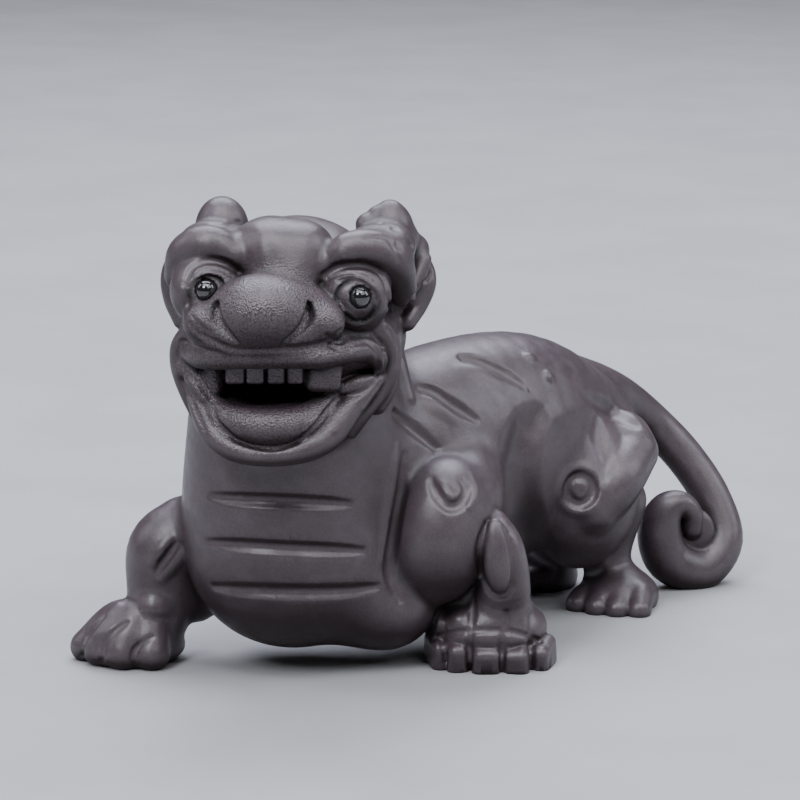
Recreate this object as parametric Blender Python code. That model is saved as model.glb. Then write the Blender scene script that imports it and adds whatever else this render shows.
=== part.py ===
"""Pixiu figure: a small crouching beast of unglazed purple-brown clay, with two black eye beads.

The beast is laid out on a front drawing, as it is seen from a little above its face. A point
of the drawing is (u, v), counted in steps across and down from its top left corner, and a
depth y, in millimetres behind the toes. The clay is a field of signed distances in which the
masses are blended and the openings, grooves and ridges are worked in. The finished figure is
turned so that its back runs along Y, head end towards -Y, and stands with its soles on Z = 0.
"""

import math

import bmesh
import bpy
import numpy as np
import openvdb
from mathutils import Matrix, Vector

MM = 0.001

# Front drawing: where it is seen from, in millimetres, and how far it looks down
EYE_POINT = np.array((14.6, -553.6, 166.0))
EYE_TILT = math.radians(12.2)
SHEET_CENTRE = 400.0
SHEET_FOCUS = 3511.0

# Whole figure: turn of the back from the front drawing, step of the field, faces of the body
BACK_TURN = math.radians(45.0)
GRAIN = 0.5
TRIANGLES = 8800

# Torso: its sideways direction and its middle in plan, and how narrow it is for its height
ASIDE = np.array((math.sin(BACK_TURN), -math.cos(BACK_TURN), 0.0))
LOIN = np.array((21.0, 26.0, 30.0))
TORSO_SQUEEZE = 0.73

# Forepaws and hind paws
SOLE = np.array((1.0, 1.0, 0.0))
SOLE_RISE = np.array((0.0, 0.0, 2.4))
HIND_TOES = np.array((-0.34, -0.94, 0.0))

# Eye beads
BEAD_RADIUS = 1.65
BEAD_GAP = 0.3


def at(u, v, y):
    """Point of the figure shown at (u, v) on the front drawing, at depth y."""
    rise = (SHEET_CENTRE - v) / SHEET_FOCUS
    away = y - EYE_POINT[1]
    cos_t = math.cos(EYE_TILT)
    sin_t = math.sin(EYE_TILT)
    drop = away * (rise * cos_t - sin_t) / (cos_t + rise * sin_t)
    reach = away * cos_t - drop * sin_t
    x = EYE_POINT[0] + (u - SHEET_CENTRE) * reach / SHEET_FOCUS
    return np.array((x, y, EYE_POINT[2] + drop))


def turning(turn):
    """Rotation matrix for (tilt about x, roll about y, yaw about z), in degrees."""
    a, b, c = (math.radians(angle) for angle in turn)
    rx = np.array(((1, 0, 0), (0, math.cos(a), -math.sin(a)), (0, math.sin(a), math.cos(a))))
    ry = np.array(((math.cos(b), 0, math.sin(b)), (0, 1, 0), (-math.sin(b), 0, math.cos(b))))
    rz = np.array(((math.cos(c), -math.sin(c), 0), (math.sin(c), math.cos(c), 0), (0, 0, 1)))
    return rz @ ry @ rx


def ball(centre, radii, turn=(0, 0, 0)):
    """Ellipsoid: its middle, its reach and its distance function."""
    centre = np.array(centre, dtype=float)
    radii = np.broadcast_to(np.array(radii, dtype=float), 3)
    axes = turning(turn)

    def distance(points):
        local = (points - centre) @ axes
        near = np.linalg.norm(local / radii, axis=1)
        slope = np.linalg.norm(local / radii ** 2, axis=1)
        return near * (near - 1.0) / np.maximum(slope, 1e-6)

    reach = radii.max() * np.ones(3)
    return centre - reach, centre + reach, distance


def slab(centre, half, rounding, turn=(0, 0, 0)):
    """Box with rounded edges."""
    centre = np.array(centre, dtype=float)
    half = np.array(half, dtype=float)
    axes = turning(turn)

    def distance(points):
        beyond = np.abs((points - centre) @ axes) - half + rounding
        outside = np.linalg.norm(np.maximum(beyond, 0.0), axis=1)
        return outside + np.minimum(beyond.max(axis=1), 0.0) - rounding

    reach = np.linalg.norm(half) * np.ones(3)
    return centre - reach, centre + reach, distance


def smooth_line(knots, pieces=6):
    """Points along a smooth curve through the knots (any number of columns)."""
    knots = np.array(knots, dtype=float)
    if len(knots) == 2:
        steps = np.linspace(0.0, 1.0, pieces + 1)[:, None]
        return knots[0] + (knots[1] - knots[0]) * steps
    padded = np.vstack((2 * knots[0] - knots[1], knots, 2 * knots[-1] - knots[-2]))
    line = []
    for i in range(1, len(padded) - 2):
        a, b, c, d = padded[i - 1:i + 3]
        for t in np.arange(pieces) / pieces:
            line.append(0.5 * (2 * b + (c - a) * t + (2 * a - 5 * b + 4 * c - d) * t ** 2
                               + (3 * b - a - 3 * c + d) * t ** 3))
    line.append(knots[-1])
    return np.array(line)


def limb(knots, pieces=6):
    """Round limb along a smooth curve; each knot is (point, radius)."""
    line = smooth_line([(*point, radius) for point, radius in knots], pieces)
    centres = line[:, :3]
    radii = line[:, 3]

    def distance(points):
        best = np.full(len(points), 1e3)
        for i in range(len(line) - 1):
            span = centres[i + 1] - centres[i]
            offset = points - centres[i]
            t = np.clip(offset @ span / max(span @ span, 1e-9), 0.0, 1.0)
            gap = np.linalg.norm(offset - t[:, None] * span, axis=1)
            best = np.minimum(best, gap - radii[i] - t * (radii[i + 1] - radii[i]))
        return best

    reach = radii.max()
    return centres.min(axis=0) - reach, centres.max(axis=0) + reach, distance


class Clay:
    """Signed distances of the clay at a set of points, in millimetres."""

    MARGIN = 3.5

    def __init__(self, points):
        self.points = points
        self.depth = np.full(len(points), 40.0)

    def close_to(self, low, high, reach):
        """Indices of the points within reach of a box."""
        inside = np.ones(len(self.points), dtype=bool)
        for axis in range(3):
            column = self.points[:, axis]
            inside &= (column > low[axis] - reach) & (column < high[axis] + reach)
        return np.flatnonzero(inside)

    def add(self, shape, blend=1.0):
        """Join a shape to the clay with a fillet."""
        low, high, distance = shape
        index = self.close_to(low, high, blend + self.MARGIN)
        if len(index):
            old = self.depth[index]
            new = distance(self.points[index])
            mix = np.maximum(blend - np.abs(old - new), 0.0) / blend
            self.depth[index] = np.minimum(old, new) - mix ** 2 * blend / 4

    def cut(self, shape, blend=0.5):
        """Take a shape out of the clay with a softened edge."""
        low, high, distance = shape
        index = self.close_to(low, high, blend + self.MARGIN)
        if len(index):
            old = self.depth[index]
            new = -distance(self.points[index])
            mix = np.maximum(blend - np.abs(old - new), 0.0) / blend
            self.depth[index] = np.maximum(old, new) + mix ** 2 * blend / 4

    def stroke(self, line, width, depth, sharp=2.0):
        """Groove (depth above 0) or ridge (below 0) along a line; its last column scales it."""
        centres = line[:, :3]
        scale = line[:, 3]
        low = centres.min(axis=0)
        high = centres.max(axis=0)
        index = self.close_to(low, high, width)
        if not len(index):
            return
        points = self.points[index]
        best = np.zeros(len(points))
        for i in range(len(line) - 1):
            span = centres[i + 1] - centres[i]
            offset = points - centres[i]
            t = np.clip(offset @ span / max(span @ span, 1e-9), 0.0, 1.0)
            gap = np.linalg.norm(offset - t[:, None] * span, axis=1)
            size = scale[i] + t * (scale[i + 1] - scale[i])
            near = np.clip(1.0 - (gap / (width * (0.5 + 0.5 * size))) ** 2, 0.0, 1.0)
            best = np.maximum(best, size * near ** sharp)
        self.depth[index] += depth * best


def across(point):
    """The matching point on the other flank of the torso."""
    point = np.array(point, dtype=float)
    return point - 2.0 * np.outer((point - LOIN) @ ASIDE, ASIDE).reshape(point.shape)


def flattened(shape, squeeze):
    """The shape narrowed across the torso."""
    low, high, distance = shape

    def narrowed(points):
        side = (points - LOIN) @ ASIDE
        return distance(points + np.outer(side * (1.0 / squeeze - 1.0), ASIDE)) * (1.0 + squeeze) / 2

    return low, high, narrowed


def add_torso(clay):
    """Barrel-shaped trunk from the shoulders to the rump, and the column of neck and chest."""
    trunk = limb((((3, 11, 27), 17.0), ((11, 17, 28.5), 19.0), ((21, 26, 30), 20.4),
                  ((33, 37, 30.5), 19.4), ((43, 48, 27), 15.4), ((47, 53, 25.5), 12.2)))
    clay.add(flattened(trunk, TORSO_SQUEEZE), 3.0)
    clay.add(limb((((-2.0, 8, 60), 15.0), ((-2.6, 8, 50), 16.3), ((-3.4, 7.5, 38), 17.0),
                   ((-4.0, 7.5, 26), 17.3), ((-4.0, 8, 21), 16.0))), 6.0)
    clay.add(ball((-2.2, 8, 18), (16.6, 15.5, 14.0)), 5.0)
    clay.add(ball((28, 32, 16), (14.0, 8.5, 7.6), (0, 0, 45)), 5.0)
    clay.add(ball(at(382, 600, 7), (9.2, 9.5, 8.2)), 5.0)
    clay.add(ball(at(197, 583, 13), (4.6, 5.0, 6.6)), 3.0)


def add_foreleg_left(clay):
    """The beast's left foreleg: egg-shaped shoulder, short forearm and broad paw."""
    clay.add(ball(at(470, 496, 11.5), (5.6, 7.0, 7.5)), 4.0)
    clay.add(ball(at(438, 530, 6.8), (9.3, 10.6, 12.6), (0, 10, 0)), 1.6)
    clay.add(limb(((at(495, 523, 5.0), 2.2), (at(501, 548, 3.6), 3.7), (at(504, 580, 5.0), 4.3),
                   (at(498, 615, 8.5), 5.4))), 1.0)
    clay.add(ball(at(497, 556, 0.6), (2.5, 2.0, 6.3), (-6, -4, 0)), 0.4)
    clay.add(ball(at(488, 626, 9), (9.8, 8.2, 5.6)), 2.0)
    clay.add(ball(at(488, 650, 9) * SOLE + SOLE_RISE, (9.4, 8.0, 3.6)), 1.0)
    for u, v, reach, half in ((437, 651, 3.4, 1.5), (456, 654, 2.0, 1.9), (486, 658, 1.2, 2.4),
                              (517, 659, 1.4, 2.3), (542, 656, 3.2, 1.8)):
        tip = at(u, v, reach + 2.6)
        clay.add(slab(tip, (half, 3.6, 2.9), 1.4, (12, 0, (488 - u) * 0.35)), 0.35)
    for u, v, reach, half in ((441, 622, 4.6, 1.7), (460, 618, 3.6, 1.9), (489, 619, 3.2, 2.3),
                              (516, 621, 3.8, 2.0), (529, 629, 5.6, 1.4)):
        knuckle = at(u, v, reach + 2.6)
        clay.add(slab(knuckle, (half, 3.4, 2.5), 1.5, (25, 0, (488 - u) * 0.35)), 0.5)


def add_foreleg_right(clay):
    """The beast's right foreleg, set out to the side with its toes fanned outwards."""
    clay.add(limb(((at(187, 535, 12), 6.6), (at(167, 551, 11), 6.6), (at(162, 582, 11), 5.9),
                   (at(160, 610, 10.5), 5.2))), 2.0)
    clay.add(ball(at(154, 607, 6.5), (2.6, 2.6, 2.4)), 1.5)
    clay.add(ball(at(134, 635, 9.6), (8.0, 7.2, 5.4), (0, 0, 15)), 2.0)
    clay.add(ball(at(134, 650, 9.5) * SOLE + SOLE_RISE, (8.6, 7.4, 3.4), (0, 0, 15)), 1.0)
    wrist = at(150, 618, 10)
    for u, v, reach, radius in ((87, 646, 9.0, 2.8), (100, 648, 6.0, 3.0), (124, 651, 3.8, 3.2),
                                (152, 653, 3.4, 3.0)):
        tip = at(u, v, reach + 1.0)
        middle = (tip + wrist) / 2 + np.array((0.0, 0.0, 2.6))
        clay.add(limb(((tip, radius), (middle, radius), (wrist, 2.6))), 0.5)


def add_hind_leg(clay, side):
    """One hind leg; side is the function that puts a point on its flank of the torso."""
    along_back = (0, 0, -math.degrees(BACK_TURN))
    knee = side(at(592, 508, 32))
    calf = side(at(614, 480, 34.5))
    hock = side(at(632, 452, 40.5))
    ankle = side(at(606, 556, 47))
    paw = side(at(614, 600, 42))
    ahead = side(LOIN + HIND_TOES) - LOIN
    beside = np.array((-ahead[1], ahead[0], 0.0))
    clay.add(ball(side(at(579, 490, 38.6)), (9.9, 11.4, 13.8), along_back), 1.6)
    clay.add(limb(((knee, 4.6), (calf, 5.0), (hock, 4.6))), 0.8)
    clay.add(ball(side(at(620, 441, 43)), (5.6, 5.6, 5.4)), 1.2)
    clay.add(limb(((side(at(618, 500, 46)), 5.0), (ankle, 4.4), (paw - ahead * 4, 4.8))), 1.5)
    clay.add(ball(paw - ahead * 2.5 + np.array((0, 0, 0.4)), (7.2, 7.2, 4.8)), 1.5)
    for step in (-1.5, -0.5, 0.5, 1.5):
        tip = paw + beside * 3.7 * step + ahead * (4.6 - 0.5 * step ** 2) - np.array((0, 0, 0.4))
        heel = paw + beside * 2.5 * step - ahead * 4.0 + np.array((0, 0, 0.4))
        clay.add(limb(((tip, 2.2), ((tip + heel) / 2 + np.array((0, 0, 1.2)), 2.6), (heel, 2.4))), 0.6)


def add_tail(clay):
    """Tail from the top of the rump, out and down to the ground and rolled in at its end."""
    course = ((572, 372, 52, 3.2), (598, 386, 56, 3.9), (623, 401, 61.0, 4.0), (653, 424, 65, 3.6),
              (684, 456, 65, 3.5), (711, 497, 63, 3.5), (723, 540, 60, 3.6), (700, 569, 57, 4.0),
              (669, 560, 55, 4.1), (659, 532, 54, 3.9), (666, 510, 54, 3.1), (681, 504, 54.5, 2.3),
              (692, 514, 55, 1.9), (692, 529, 55.5, 1.8))
    clay.add(limb([(at(u, v, y), radius) for u, v, y, radius in course]), 0.9)
    clay.add(ball(at(688, 531, 56.9), (4.8, 1.8, 4.6)), 0.5)


def seen_on(centre, radius, u, v):
    """Point of a sphere that the front drawing shows at (u, v), or its nearest edge point."""
    sight = at(u, v, centre[1]) - EYE_POINT
    sight /= np.linalg.norm(sight)
    along = (centre - EYE_POINT) @ sight
    aside = EYE_POINT + sight * along - centre
    miss = np.linalg.norm(aside)
    if miss >= radius:
        return centre + aside * radius / miss
    return centre + aside - sight * math.sqrt(radius ** 2 - miss ** 2)


CHEEK_FOLDS = (
    ((352, 318, -12, 1.4), (377, 326, -10.2, 1.6), (390, 345, -9.4, 1.6), (391, 368, -9.0, 1.5),
     (381, 391, -9.4, 1.3), (366, 412, -10.0, 1.1), (352, 434, -9.5, 0.8)),
    ((362, 328, -8, 2.2), (384, 338, -6, 2.3), (387, 362, -5.5, 2.3), (382, 388, -6.0, 2.2),
     (376, 404, -6.5, 1.8)),
    ((190, 330, -10.5, 1.4), (180, 346, -9.0, 1.5), (179, 366, -8.8, 1.4), (186, 389, -9.5, 1.3),
     (196, 412, -10.0, 1.1), (208, 434, -10.5, 0.8)),
    ((184, 370, -10.5, 1.0), (194, 380, -12.0, 1.1), (204, 390, -13.4, 1.1), (212, 404, -14.4, 1.0),
     (220, 424, -16.4, 0.8)),
)


def add_face(clay):
    """Skull, cheeks, jaw and brows, without the openings."""
    clay.add(ball((-2.6, 2.0, 57.2), (18.2, 15.6, 14.0)), 4.0)
    clay.add(ball(at(286, 338, -7), (16.4, 11.0, 8.0)), 3.0)
    clay.add(ball(at(279, 395, -5), (14.2, 12.5, 9.4)), 2.5)
    clay.add(ball(at(270, 345, -13), (12.8, 9.5, 5.2)), 2.0)
    clay.add(ball(at(272, 250, -9.5), (6.6, 7.0, 5.4)), 2.5)
    clay.add(ball(at(306, 252, -9.4), (4.6, 6.0, 4.8)), 2.5)
    clay.add(ball(at(284, 276, -11), (6.4, 7.0, 5.5)), 2.0)
    clay.add(ball(at(212, 243, -6.5), (5.3, 5.4, 3.6), (0, 0, 10)), 2.0)
    clay.add(ball(at(381, 246, -5.5), (5.6, 5.6, 3.8), (0, 0, -10)), 2.0)
    clay.add(limb(((at(180, 275, -8), 2.5), (at(187, 254, -10.5), 3.1), (at(208, 245, -12), 3.2),
                   (at(231, 254, -12.5), 2.7))), 1.6)
    clay.add(limb(((at(327, 264, -13), 2.1), (at(346, 251, -12.7), 2.8), (at(372, 250, -11.4), 3.2),
                   (at(394, 265, -8.8), 3.1), (at(402, 292, -5.5), 2.4))), 1.6)
    for fold in CHEEK_FOLDS:
        clay.add(limb([(at(u, v, y), radius) for u, v, y, radius in fold]), 1.6)


EAR_RIMS = (
    ((412, 258, 2), (424, 267, 3), (427, 284, 2), (419, 304, 1), (407, 322, -1)),
    ((180, 256, 3), (172, 268, 4), (170, 284, 3), (175, 304, 2), (182, 320, 1)),
)


def add_horns_and_ears(clay):
    """Stubby horns, leaf-shaped ears and the locks behind them."""
    clay.add(limb(((at(222, 240, -1), 4.6), (at(222, 223, -1), 4.1), (at(221.5, 212, -1), 2.5))), 1.4)
    clay.add(limb(((at(390, 242, 0), 4.4), (at(390, 226, 0), 3.7), (at(390, 215, 0), 2.5))), 1.4)
    clay.add(ball(at(368, 225, -1), 2.0), 1.0)
    clay.add(ball(at(377, 215, -0.5), 1.5), 0.6)
    clay.add(ball(at(401, 241, 2), (3.0, 4.0, 3.4)), 1.0)
    clay.add(ball(at(416, 251, 3), (2.2, 3.4, 2.7)), 0.8)
    clay.add(ball(at(410, 286, 3), (3.0, 4.0, 6.0)), 1.5)
    clay.add(ball(at(178, 288, 4), (2.4, 3.4, 5.4)), 1.5)
    for rim in EAR_RIMS:
        clay.add(limb([(at(u, v, y), 1.5) for u, v, y in rim]), 0.8)
    clay.add(limb(((at(424, 260, 0), 1.2), (at(416, 279, -1.5), 1.4), (at(407, 297, -3.5), 1.0))), 1.4)
    for lock in range(7):
        add_lock(clay, lock)


def add_lock(clay, lock):
    """One of the wavy locks that hang down the back of the head."""
    lean = math.radians(24 + 22 * lock)
    out = np.array((math.cos(lean), math.sin(lean), 0.0))
    sway = np.array((-out[1], out[0], 0.0)) * (2.2 if lock % 2 else -2.2)
    crown = np.array((-2.0, 5.5, 0.0))
    low = 40 + 1.5 * abs(lock - 3) - 4 * (lock % 2)
    knots = []
    for level, reach, swing, radius in ((69, 8.5, 0, 2.0), (62, 14, 0.8, 2.6), (53, 16.4, -0.6, 2.6),
                                        (low + 4, 17.2, 0.4, 2.0), (low, 18.0, 1.6, 1.0)):
        knots.append((crown + out * reach + sway * swing + (0, 0, level), radius))
    clay.add(limb(knots), 0.8)


EYE_RIGHT = (207, 291, -13.6)
EYE_LEFT = (354, 296, -12.6)
EYEBALL = 4.6
LID = 5.9
LID_BEHIND = 0.9
LID_OPENINGS = (((209, 294), (205, 304)), ((354, 299), (359, 305)))
LID_OPENING_RADIUS = 3.0
GAZE = ((206, 290), (361, 297))
BEAD_DEPTH = 0.75


def open_eyes(clay):
    """Eye hollows under the brows, with the lids open over the eyeballs."""
    for spot, opening in zip((EYE_RIGHT, EYE_LEFT), LID_OPENINGS):
        centre = at(*spot)
        clay.cut(ball(centre + np.array((0, -3.4, -0.6)), (6.0, 4.6, 4.6)), 1.0)
        clay.add(ball(centre + np.array((0, LID_BEHIND, 0)), LID), 0.8)
        near, far = [[at(u, v, centre[1] + depth) for u, v in opening] for depth in (-9.0, 0.6)]
        clay.cut(limb(((near[0], LID_OPENING_RADIUS), (far[0], LID_OPENING_RADIUS)), 1), 0.25)
        clay.cut(limb(((near[1], LID_OPENING_RADIUS * 0.9), (far[1], LID_OPENING_RADIUS * 0.9)), 1), 0.8)
        clay.add(ball(centre, (EYEBALL, EYEBALL, EYEBALL - 0.2)), 0.3)


def open_mouth(clay):
    """Gape with the lips, the tongue, the upper teeth and the blunt fangs."""
    clay.cut(ball(at(266, 390, -17), (10.6, 8.5, 5.2)), 1.0)
    lip = ((189, 353, -11, 1.5), (203, 359, -16.0, 1.6), (238, 359, -20.6, 1.5), (280, 358, -21.3, 1.5),
           (320, 357, -19.9, 1.6), (346, 352, -16.8, 1.8), (366, 350, -13.6, 1.8), (378, 358, -12, 1.5),
           (378, 369, -11.2, 1.1))
    clay.add(limb([(at(u, v, y), radius) for u, v, y, radius in lip]), 0.8)
    clay.add(ball(at(268, 414, -9), (9.6, 8.0, 4.6)), 0.6)
    tongue = ((213, 398, -12.4, 1.6), (226, 417, -15.6, 2.5), (262, 427, -18.4, 3.0),
              (298, 423, -17.6, 2.8), (321, 408, -15.2, 2.0), (334, 394, -13.4, 1.4))
    clay.add(limb([(at(u, v, y), radius) for u, v, y, radius in tongue]), 0.8)
    clay.add(limb(((at(187, 364, -10.6), 1.4), (at(196, 379, -12.4), 1.6), (at(206, 396, -14.0), 1.2))), 0.8)
    rim = ((192, 374, -9.8, 1.5), (198, 400, -12.4, 1.7), (211, 430, -15.6, 2.0), (233, 449, -18.0, 1.9),
           (264, 455, -19.0, 1.8), (300, 451, -18.4, 2.0), (327, 437, -16.6, 2.3), (345, 413, -14.4, 2.3),
           (364, 393, -12.0, 1.7), (378, 378, -10.4, 1.2))
    clay.add(limb([(at(u, v, y), radius) for u, v, y, radius in rim]), 0.35)
    clay.cut(ball(at(264, 390, -12), (7.4, 9.0, 2.0)), 0.5)
    for u, half in ((235.2, 1.48), (255.2, 1.42), (276.2, 1.38), (295.2, 1.22)):
        clay.add(slab(at(u, 370, -17.4), (half, 1.2, 2.1), 0.4), 0.12)
    clay.add(slab(at(323, 379, -15.9), (2.8, 1.6, 2.0), 1.2, (0, 6, 18)), 1.0)
    clay.add(slab(at(211, 381, -12.6), (1.6, 1.4, 2.2), 0.9, (0, -8, -20)), 0.6)
    clay.add(limb(((at(343, 388, -13.8), 1.3), (at(356, 384, -13.0), 1.5), (at(369, 379, -11.8), 1.0))), 0.4)


NOSTRILS = (
    ((217, 308, -21.0, 1.0), (217, 319, -22.2, 1.1), (225, 332, -23.4, 0.9), (237, 344, -23.8, 0.4)),
    ((306, 308, -21.0, 1.0), (307, 318, -22.2, 1.1), (299, 331, -23.4, 0.9), (284, 343, -23.8, 0.4)),
)


def add_nose(clay):
    """Broad hooded nose with its ball, wings, and comma-shaped nostrils beside the ball."""
    clay.add(ball(at(266, 323, -15.4), (12.2, 8.8, 7.7)), 0.5)
    clay.add(ball(at(264, 313, -19.2), (7.8, 6.8, 6.1)), 1.4)
    clay.add(ball(at(203, 322, -17.6), (3.2, 3.4, 3.2)), 1.0)
    clay.add(ball(at(323, 322, -18.4), (3.4, 3.6, 3.2)), 1.0)
    for nostril in NOSTRILS:
        clay.cut(limb([(at(u, v, y), radius) for u, v, y, radius in nostril]), 0.6)


def masses(points):
    """The clay before the grooves are worked in."""
    clay = Clay(points)
    add_torso(clay)
    add_face(clay)
    add_horns_and_ears(clay)
    open_eyes(clay)
    add_nose(clay)
    open_mouth(clay)
    add_foreleg_left(clay)
    add_foreleg_right(clay)
    add_hind_leg(clay, np.array)
    add_hind_leg(clay, across)
    add_tail(clay)
    return clay


def bead_centres():
    """Middles of the two eye beads, the beast's right and left."""
    centres = []
    for spot, gaze in zip((EYE_RIGHT, EYE_LEFT), GAZE):
        centre = at(*spot)
        outward = seen_on(centre, EYEBALL, *gaze) - centre
        centres.append(centre + outward * (EYEBALL - BEAD_DEPTH) / EYEBALL)
    return centres


def laid(courses, pieces=4):
    """Lines of (u, v, size) knots on the front drawing, laid on the clay."""
    lines = [smooth_line(course, pieces) for course in courses]
    every = np.vstack(lines)
    sights = np.array([at(u, v, 0.0) for u, v in every[:, :2]]) - EYE_POINT
    sights /= np.linalg.norm(sights, axis=1)[:, None]
    reach = np.full(len(every), 500.0)
    for _ in range(60):
        points = EYE_POINT + sights * reach[:, None]
        reach += np.clip(masses(points).depth * 0.8, -2.0, 6.0)
    placed = np.column_stack((EYE_POINT + sights * reach[:, None], every[:, 2]))
    return np.split(placed, np.cumsum([len(line) for line in lines])[:-1])


def settled(lines):
    """Lines moved to the nearest surface of the clay."""
    every = np.vstack(lines)
    points = every[:, :3].copy()
    step = 0.05
    for _ in range(8):
        here = masses(points).depth
        slope = np.stack([masses(points + step * axis).depth - here for axis in np.eye(3)], axis=1)
        slope /= np.maximum(np.linalg.norm(slope, axis=1), 1e-9)[:, None]
        points -= slope * np.clip(here, -1.5, 1.5)[:, None]
    placed = np.column_stack((points, every[:, 3]))
    return np.split(placed, np.cumsum([len(line) for line in lines])[:-1])


def ring(u, v, wide, tall, count=16):
    """Closed oval line on the front drawing."""
    angles = np.linspace(0.0, 2.0 * math.pi, count + 1)
    return [(u + wide * math.cos(a), v + tall * math.sin(a), 1.0) for a in angles]


CHEST_GROOVES = (
    ((210, 496, 0.2), (236, 499, 0.9), (280, 501, 1.0), (325, 503, 0.9), (350, 504, 0.3)),
    ((208, 542, 0.2), (236, 545, 0.9), (285, 548, 1.0), (335, 550, 0.9), (364, 551, 0.3)),
    ((214, 587, 0.3), (245, 590, 1.1), (290, 592, 1.25), (345, 591, 1.1), (378, 587, 0.3)),
)
SHOULDER_EDGE = (
    ((405, 455, 0.3), (401, 485, 0.9), (394, 525, 1.0), (389, 556, 1.0), (391, 582, 0.7), (400, 600, 0.3)),
)
CHEST_EDGE = (
    ((398, 446, 0.3), (392, 485, 1.0), (386, 528, 1.0), (382, 560, 0.4)),
)
SHOULDER_HOOK = (
    ((431, 481, 0.6), (437, 495, 1.0), (449, 507, 1.0), (461, 503, 1.0), (467, 491, 0.8), (462, 481, 0.5)),
)
HOOK_BANK = (
    ((472, 474, 0.4), (476, 490, 1.0), (470, 507, 0.8)),
    ((444, 484, 0.6), (449, 494, 1.0), (455, 497, 0.6)),
)
ARM_SLIT = (
    ((177, 543, 0.4), (170, 553, 1.0), (163, 563, 1.0), (157, 573, 0.4)),
)
SLIT_BANK = (
    ((182, 551, 0.4), (172, 567, 1.0), (162, 580, 0.4)),
    ((170, 538, 0.4), (160, 551, 1.0), (152, 563, 0.4)),
)
OVAL = (
    ((485, 524, 0.3), (479, 545, 1.0), (480, 570, 1.0), (489, 590, 1.0), (500, 596, 1.0),
     (510, 589, 1.0), (514, 568, 1.0), (511, 545, 1.0), (504, 527, 0.4)),
)
TOE_GROOVES = (
    ((474, 602, 0.4), (472, 616, 1.0), (471, 630, 0.8), (469, 648, 1.0), (470, 668, 0.6)),
    ((506, 612, 0.4), (505, 626, 0.9), (502, 646, 1.0), (503, 673, 0.6)),
    ((531, 614, 0.4), (531, 630, 0.9), (531, 650, 1.0), (532, 676, 0.6)),
    ((446, 606, 0.3), (443, 622, 0.8), (442, 640, 0.9), (446, 662, 0.5)),
    ((104, 616, 0.4), (93, 628, 1.0), (85, 640, 1.0), (82, 656, 0.5)),
    ((127, 622, 0.4), (115, 631, 1.0), (105, 643, 1.0), (102, 662, 0.6)),
    ((152, 637, 0.4), (140, 645, 0.8), (134, 653, 1.0), (133, 667, 0.6)),
)
PAW_CREASES = (
    ((432, 640, 0.4), (445, 635, 1.0), (470, 631, 1.0), (505, 631, 1.0), (530, 637, 0.8), (548, 646, 0.3)),
)
RIB_GROOVES = (
    ((464, 358, 0.8), (474, 360, 1.0), (490, 366, 1.0), (506, 374, 0.8), (522, 385, 0.3)),
    ((422, 388, 0.8), (434, 392, 1.0), (449, 402, 1.0), (463, 411, 0.8), (476, 420, 0.3)),
    ((396, 415, 0.9), (415, 430, 1.0), (436, 448, 0.4)),
)
RIB_BANKS = (
    ((462, 368, 0.4), (478, 372, 1.0), (497, 382, 0.4)),
    ((422, 400, 0.4), (437, 406, 1.0), (455, 419, 0.4)),
)
HAUNCH_VALLEY = (
    ((536, 420, 0.3), (524, 438, 0.8), (519, 468, 1.0), (521, 505, 1.0), (528, 542, 0.8), (536, 562, 0.4)),
)
HAUNCH_BANKS = (
    ((508, 408, 0.3), (511, 430, 1.0), (509, 460, 0.8), (509, 480, 0.3)),
    ((590, 405, 0.3), (562, 414, 0.8), (543, 432, 1.0), (537, 465, 0.9), (538, 500, 0.3)),
)
CALF_VALLEY = (
    ((597, 420, 0.4), (599, 432, 1.0), (602, 448, 1.0), (606, 463, 0.8), (603, 476, 0.3)),
)
TAIL_VALLEY = (
    ((585, 396, 0.3), (600, 405, 1.0), (618, 414, 1.0), (634, 424, 0.4)),
)
FACE_CREASES = (
    ((189, 323, 0.5), (196, 331, 1.0), (207, 338, 1.0), (226, 347, 1.0), (240, 350, 0.8),
     (262, 350, 1.0), (288, 349, 1.0), (312, 346, 1.0), (328, 341, 1.0), (341, 330, 0.5)),
    ((183, 341, 0.5), (192, 346, 1.0), (204, 350, 1.0), (220, 353, 0.5)),
)
BROW_DENTS = (
    ((245, 232, 0.5), (245, 243, 1.0), (249, 258, 0.8)),
    ((327, 236, 0.4), (324, 248, 1.0), (325, 262, 0.8)),
)
UNDER_BROWS = (
    ((324, 275, 0.6), (338, 267, 1.0), (352, 264.5, 1.0), (366, 265.5, 1.0), (379, 272, 1.0),
     (386, 282, 1.0), (388, 294, 0.9), (390, 308, 0.5)),
    ((184, 284, 0.7), (191, 268, 1.0), (204, 261.5, 1.0), (217, 261.5, 1.0), (229, 265.5, 1.0),
     (238, 272, 0.5)),
)


FLANK_MARKS = (
    (RIB_GROOVES, 1.6, 1.4),
    (RIB_BANKS, 2.4, -0.4),
    (HAUNCH_VALLEY, 6.0, 2.6),
    (HAUNCH_BANKS, 3.4, -0.5),
    (CALF_VALLEY, 2.4, 0.7),
    ((ring(580, 490, 13.5, 14.5),), 1.4, 0.8),
    ((ring(580, 490, 19.5, 20.5),), 1.9, -0.35),
    ((((529, 357, 1), (530, 357, 1)), ((548, 376, 1), (549, 376, 1))), 1.5, -0.8),
)
FRONT_MARKS = (
    (CHEST_GROOVES, 1.4, 1.4),
    (SHOULDER_EDGE, 1.6, 1.2),
    (CHEST_EDGE, 1.7, -0.6),
    (SHOULDER_HOOK, 1.3, 1.2),
    (HOOK_BANK, 1.3, -0.4),
    (OVAL, 1.0, 0.8),
    (ARM_SLIT, 1.1, 1.3),
    (SLIT_BANK, 1.6, -0.5),
    (TOE_GROOVES, 0.9, 1.0),
    (PAW_CREASES, 0.8, 0.9),
    (TAIL_VALLEY, 2.4, 1.2),
    (FACE_CREASES, 0.9, 0.6),
    (BROW_DENTS, 3.2, 0.5),
    (UNDER_BROWS, 0.8, 0.7),
)


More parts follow.
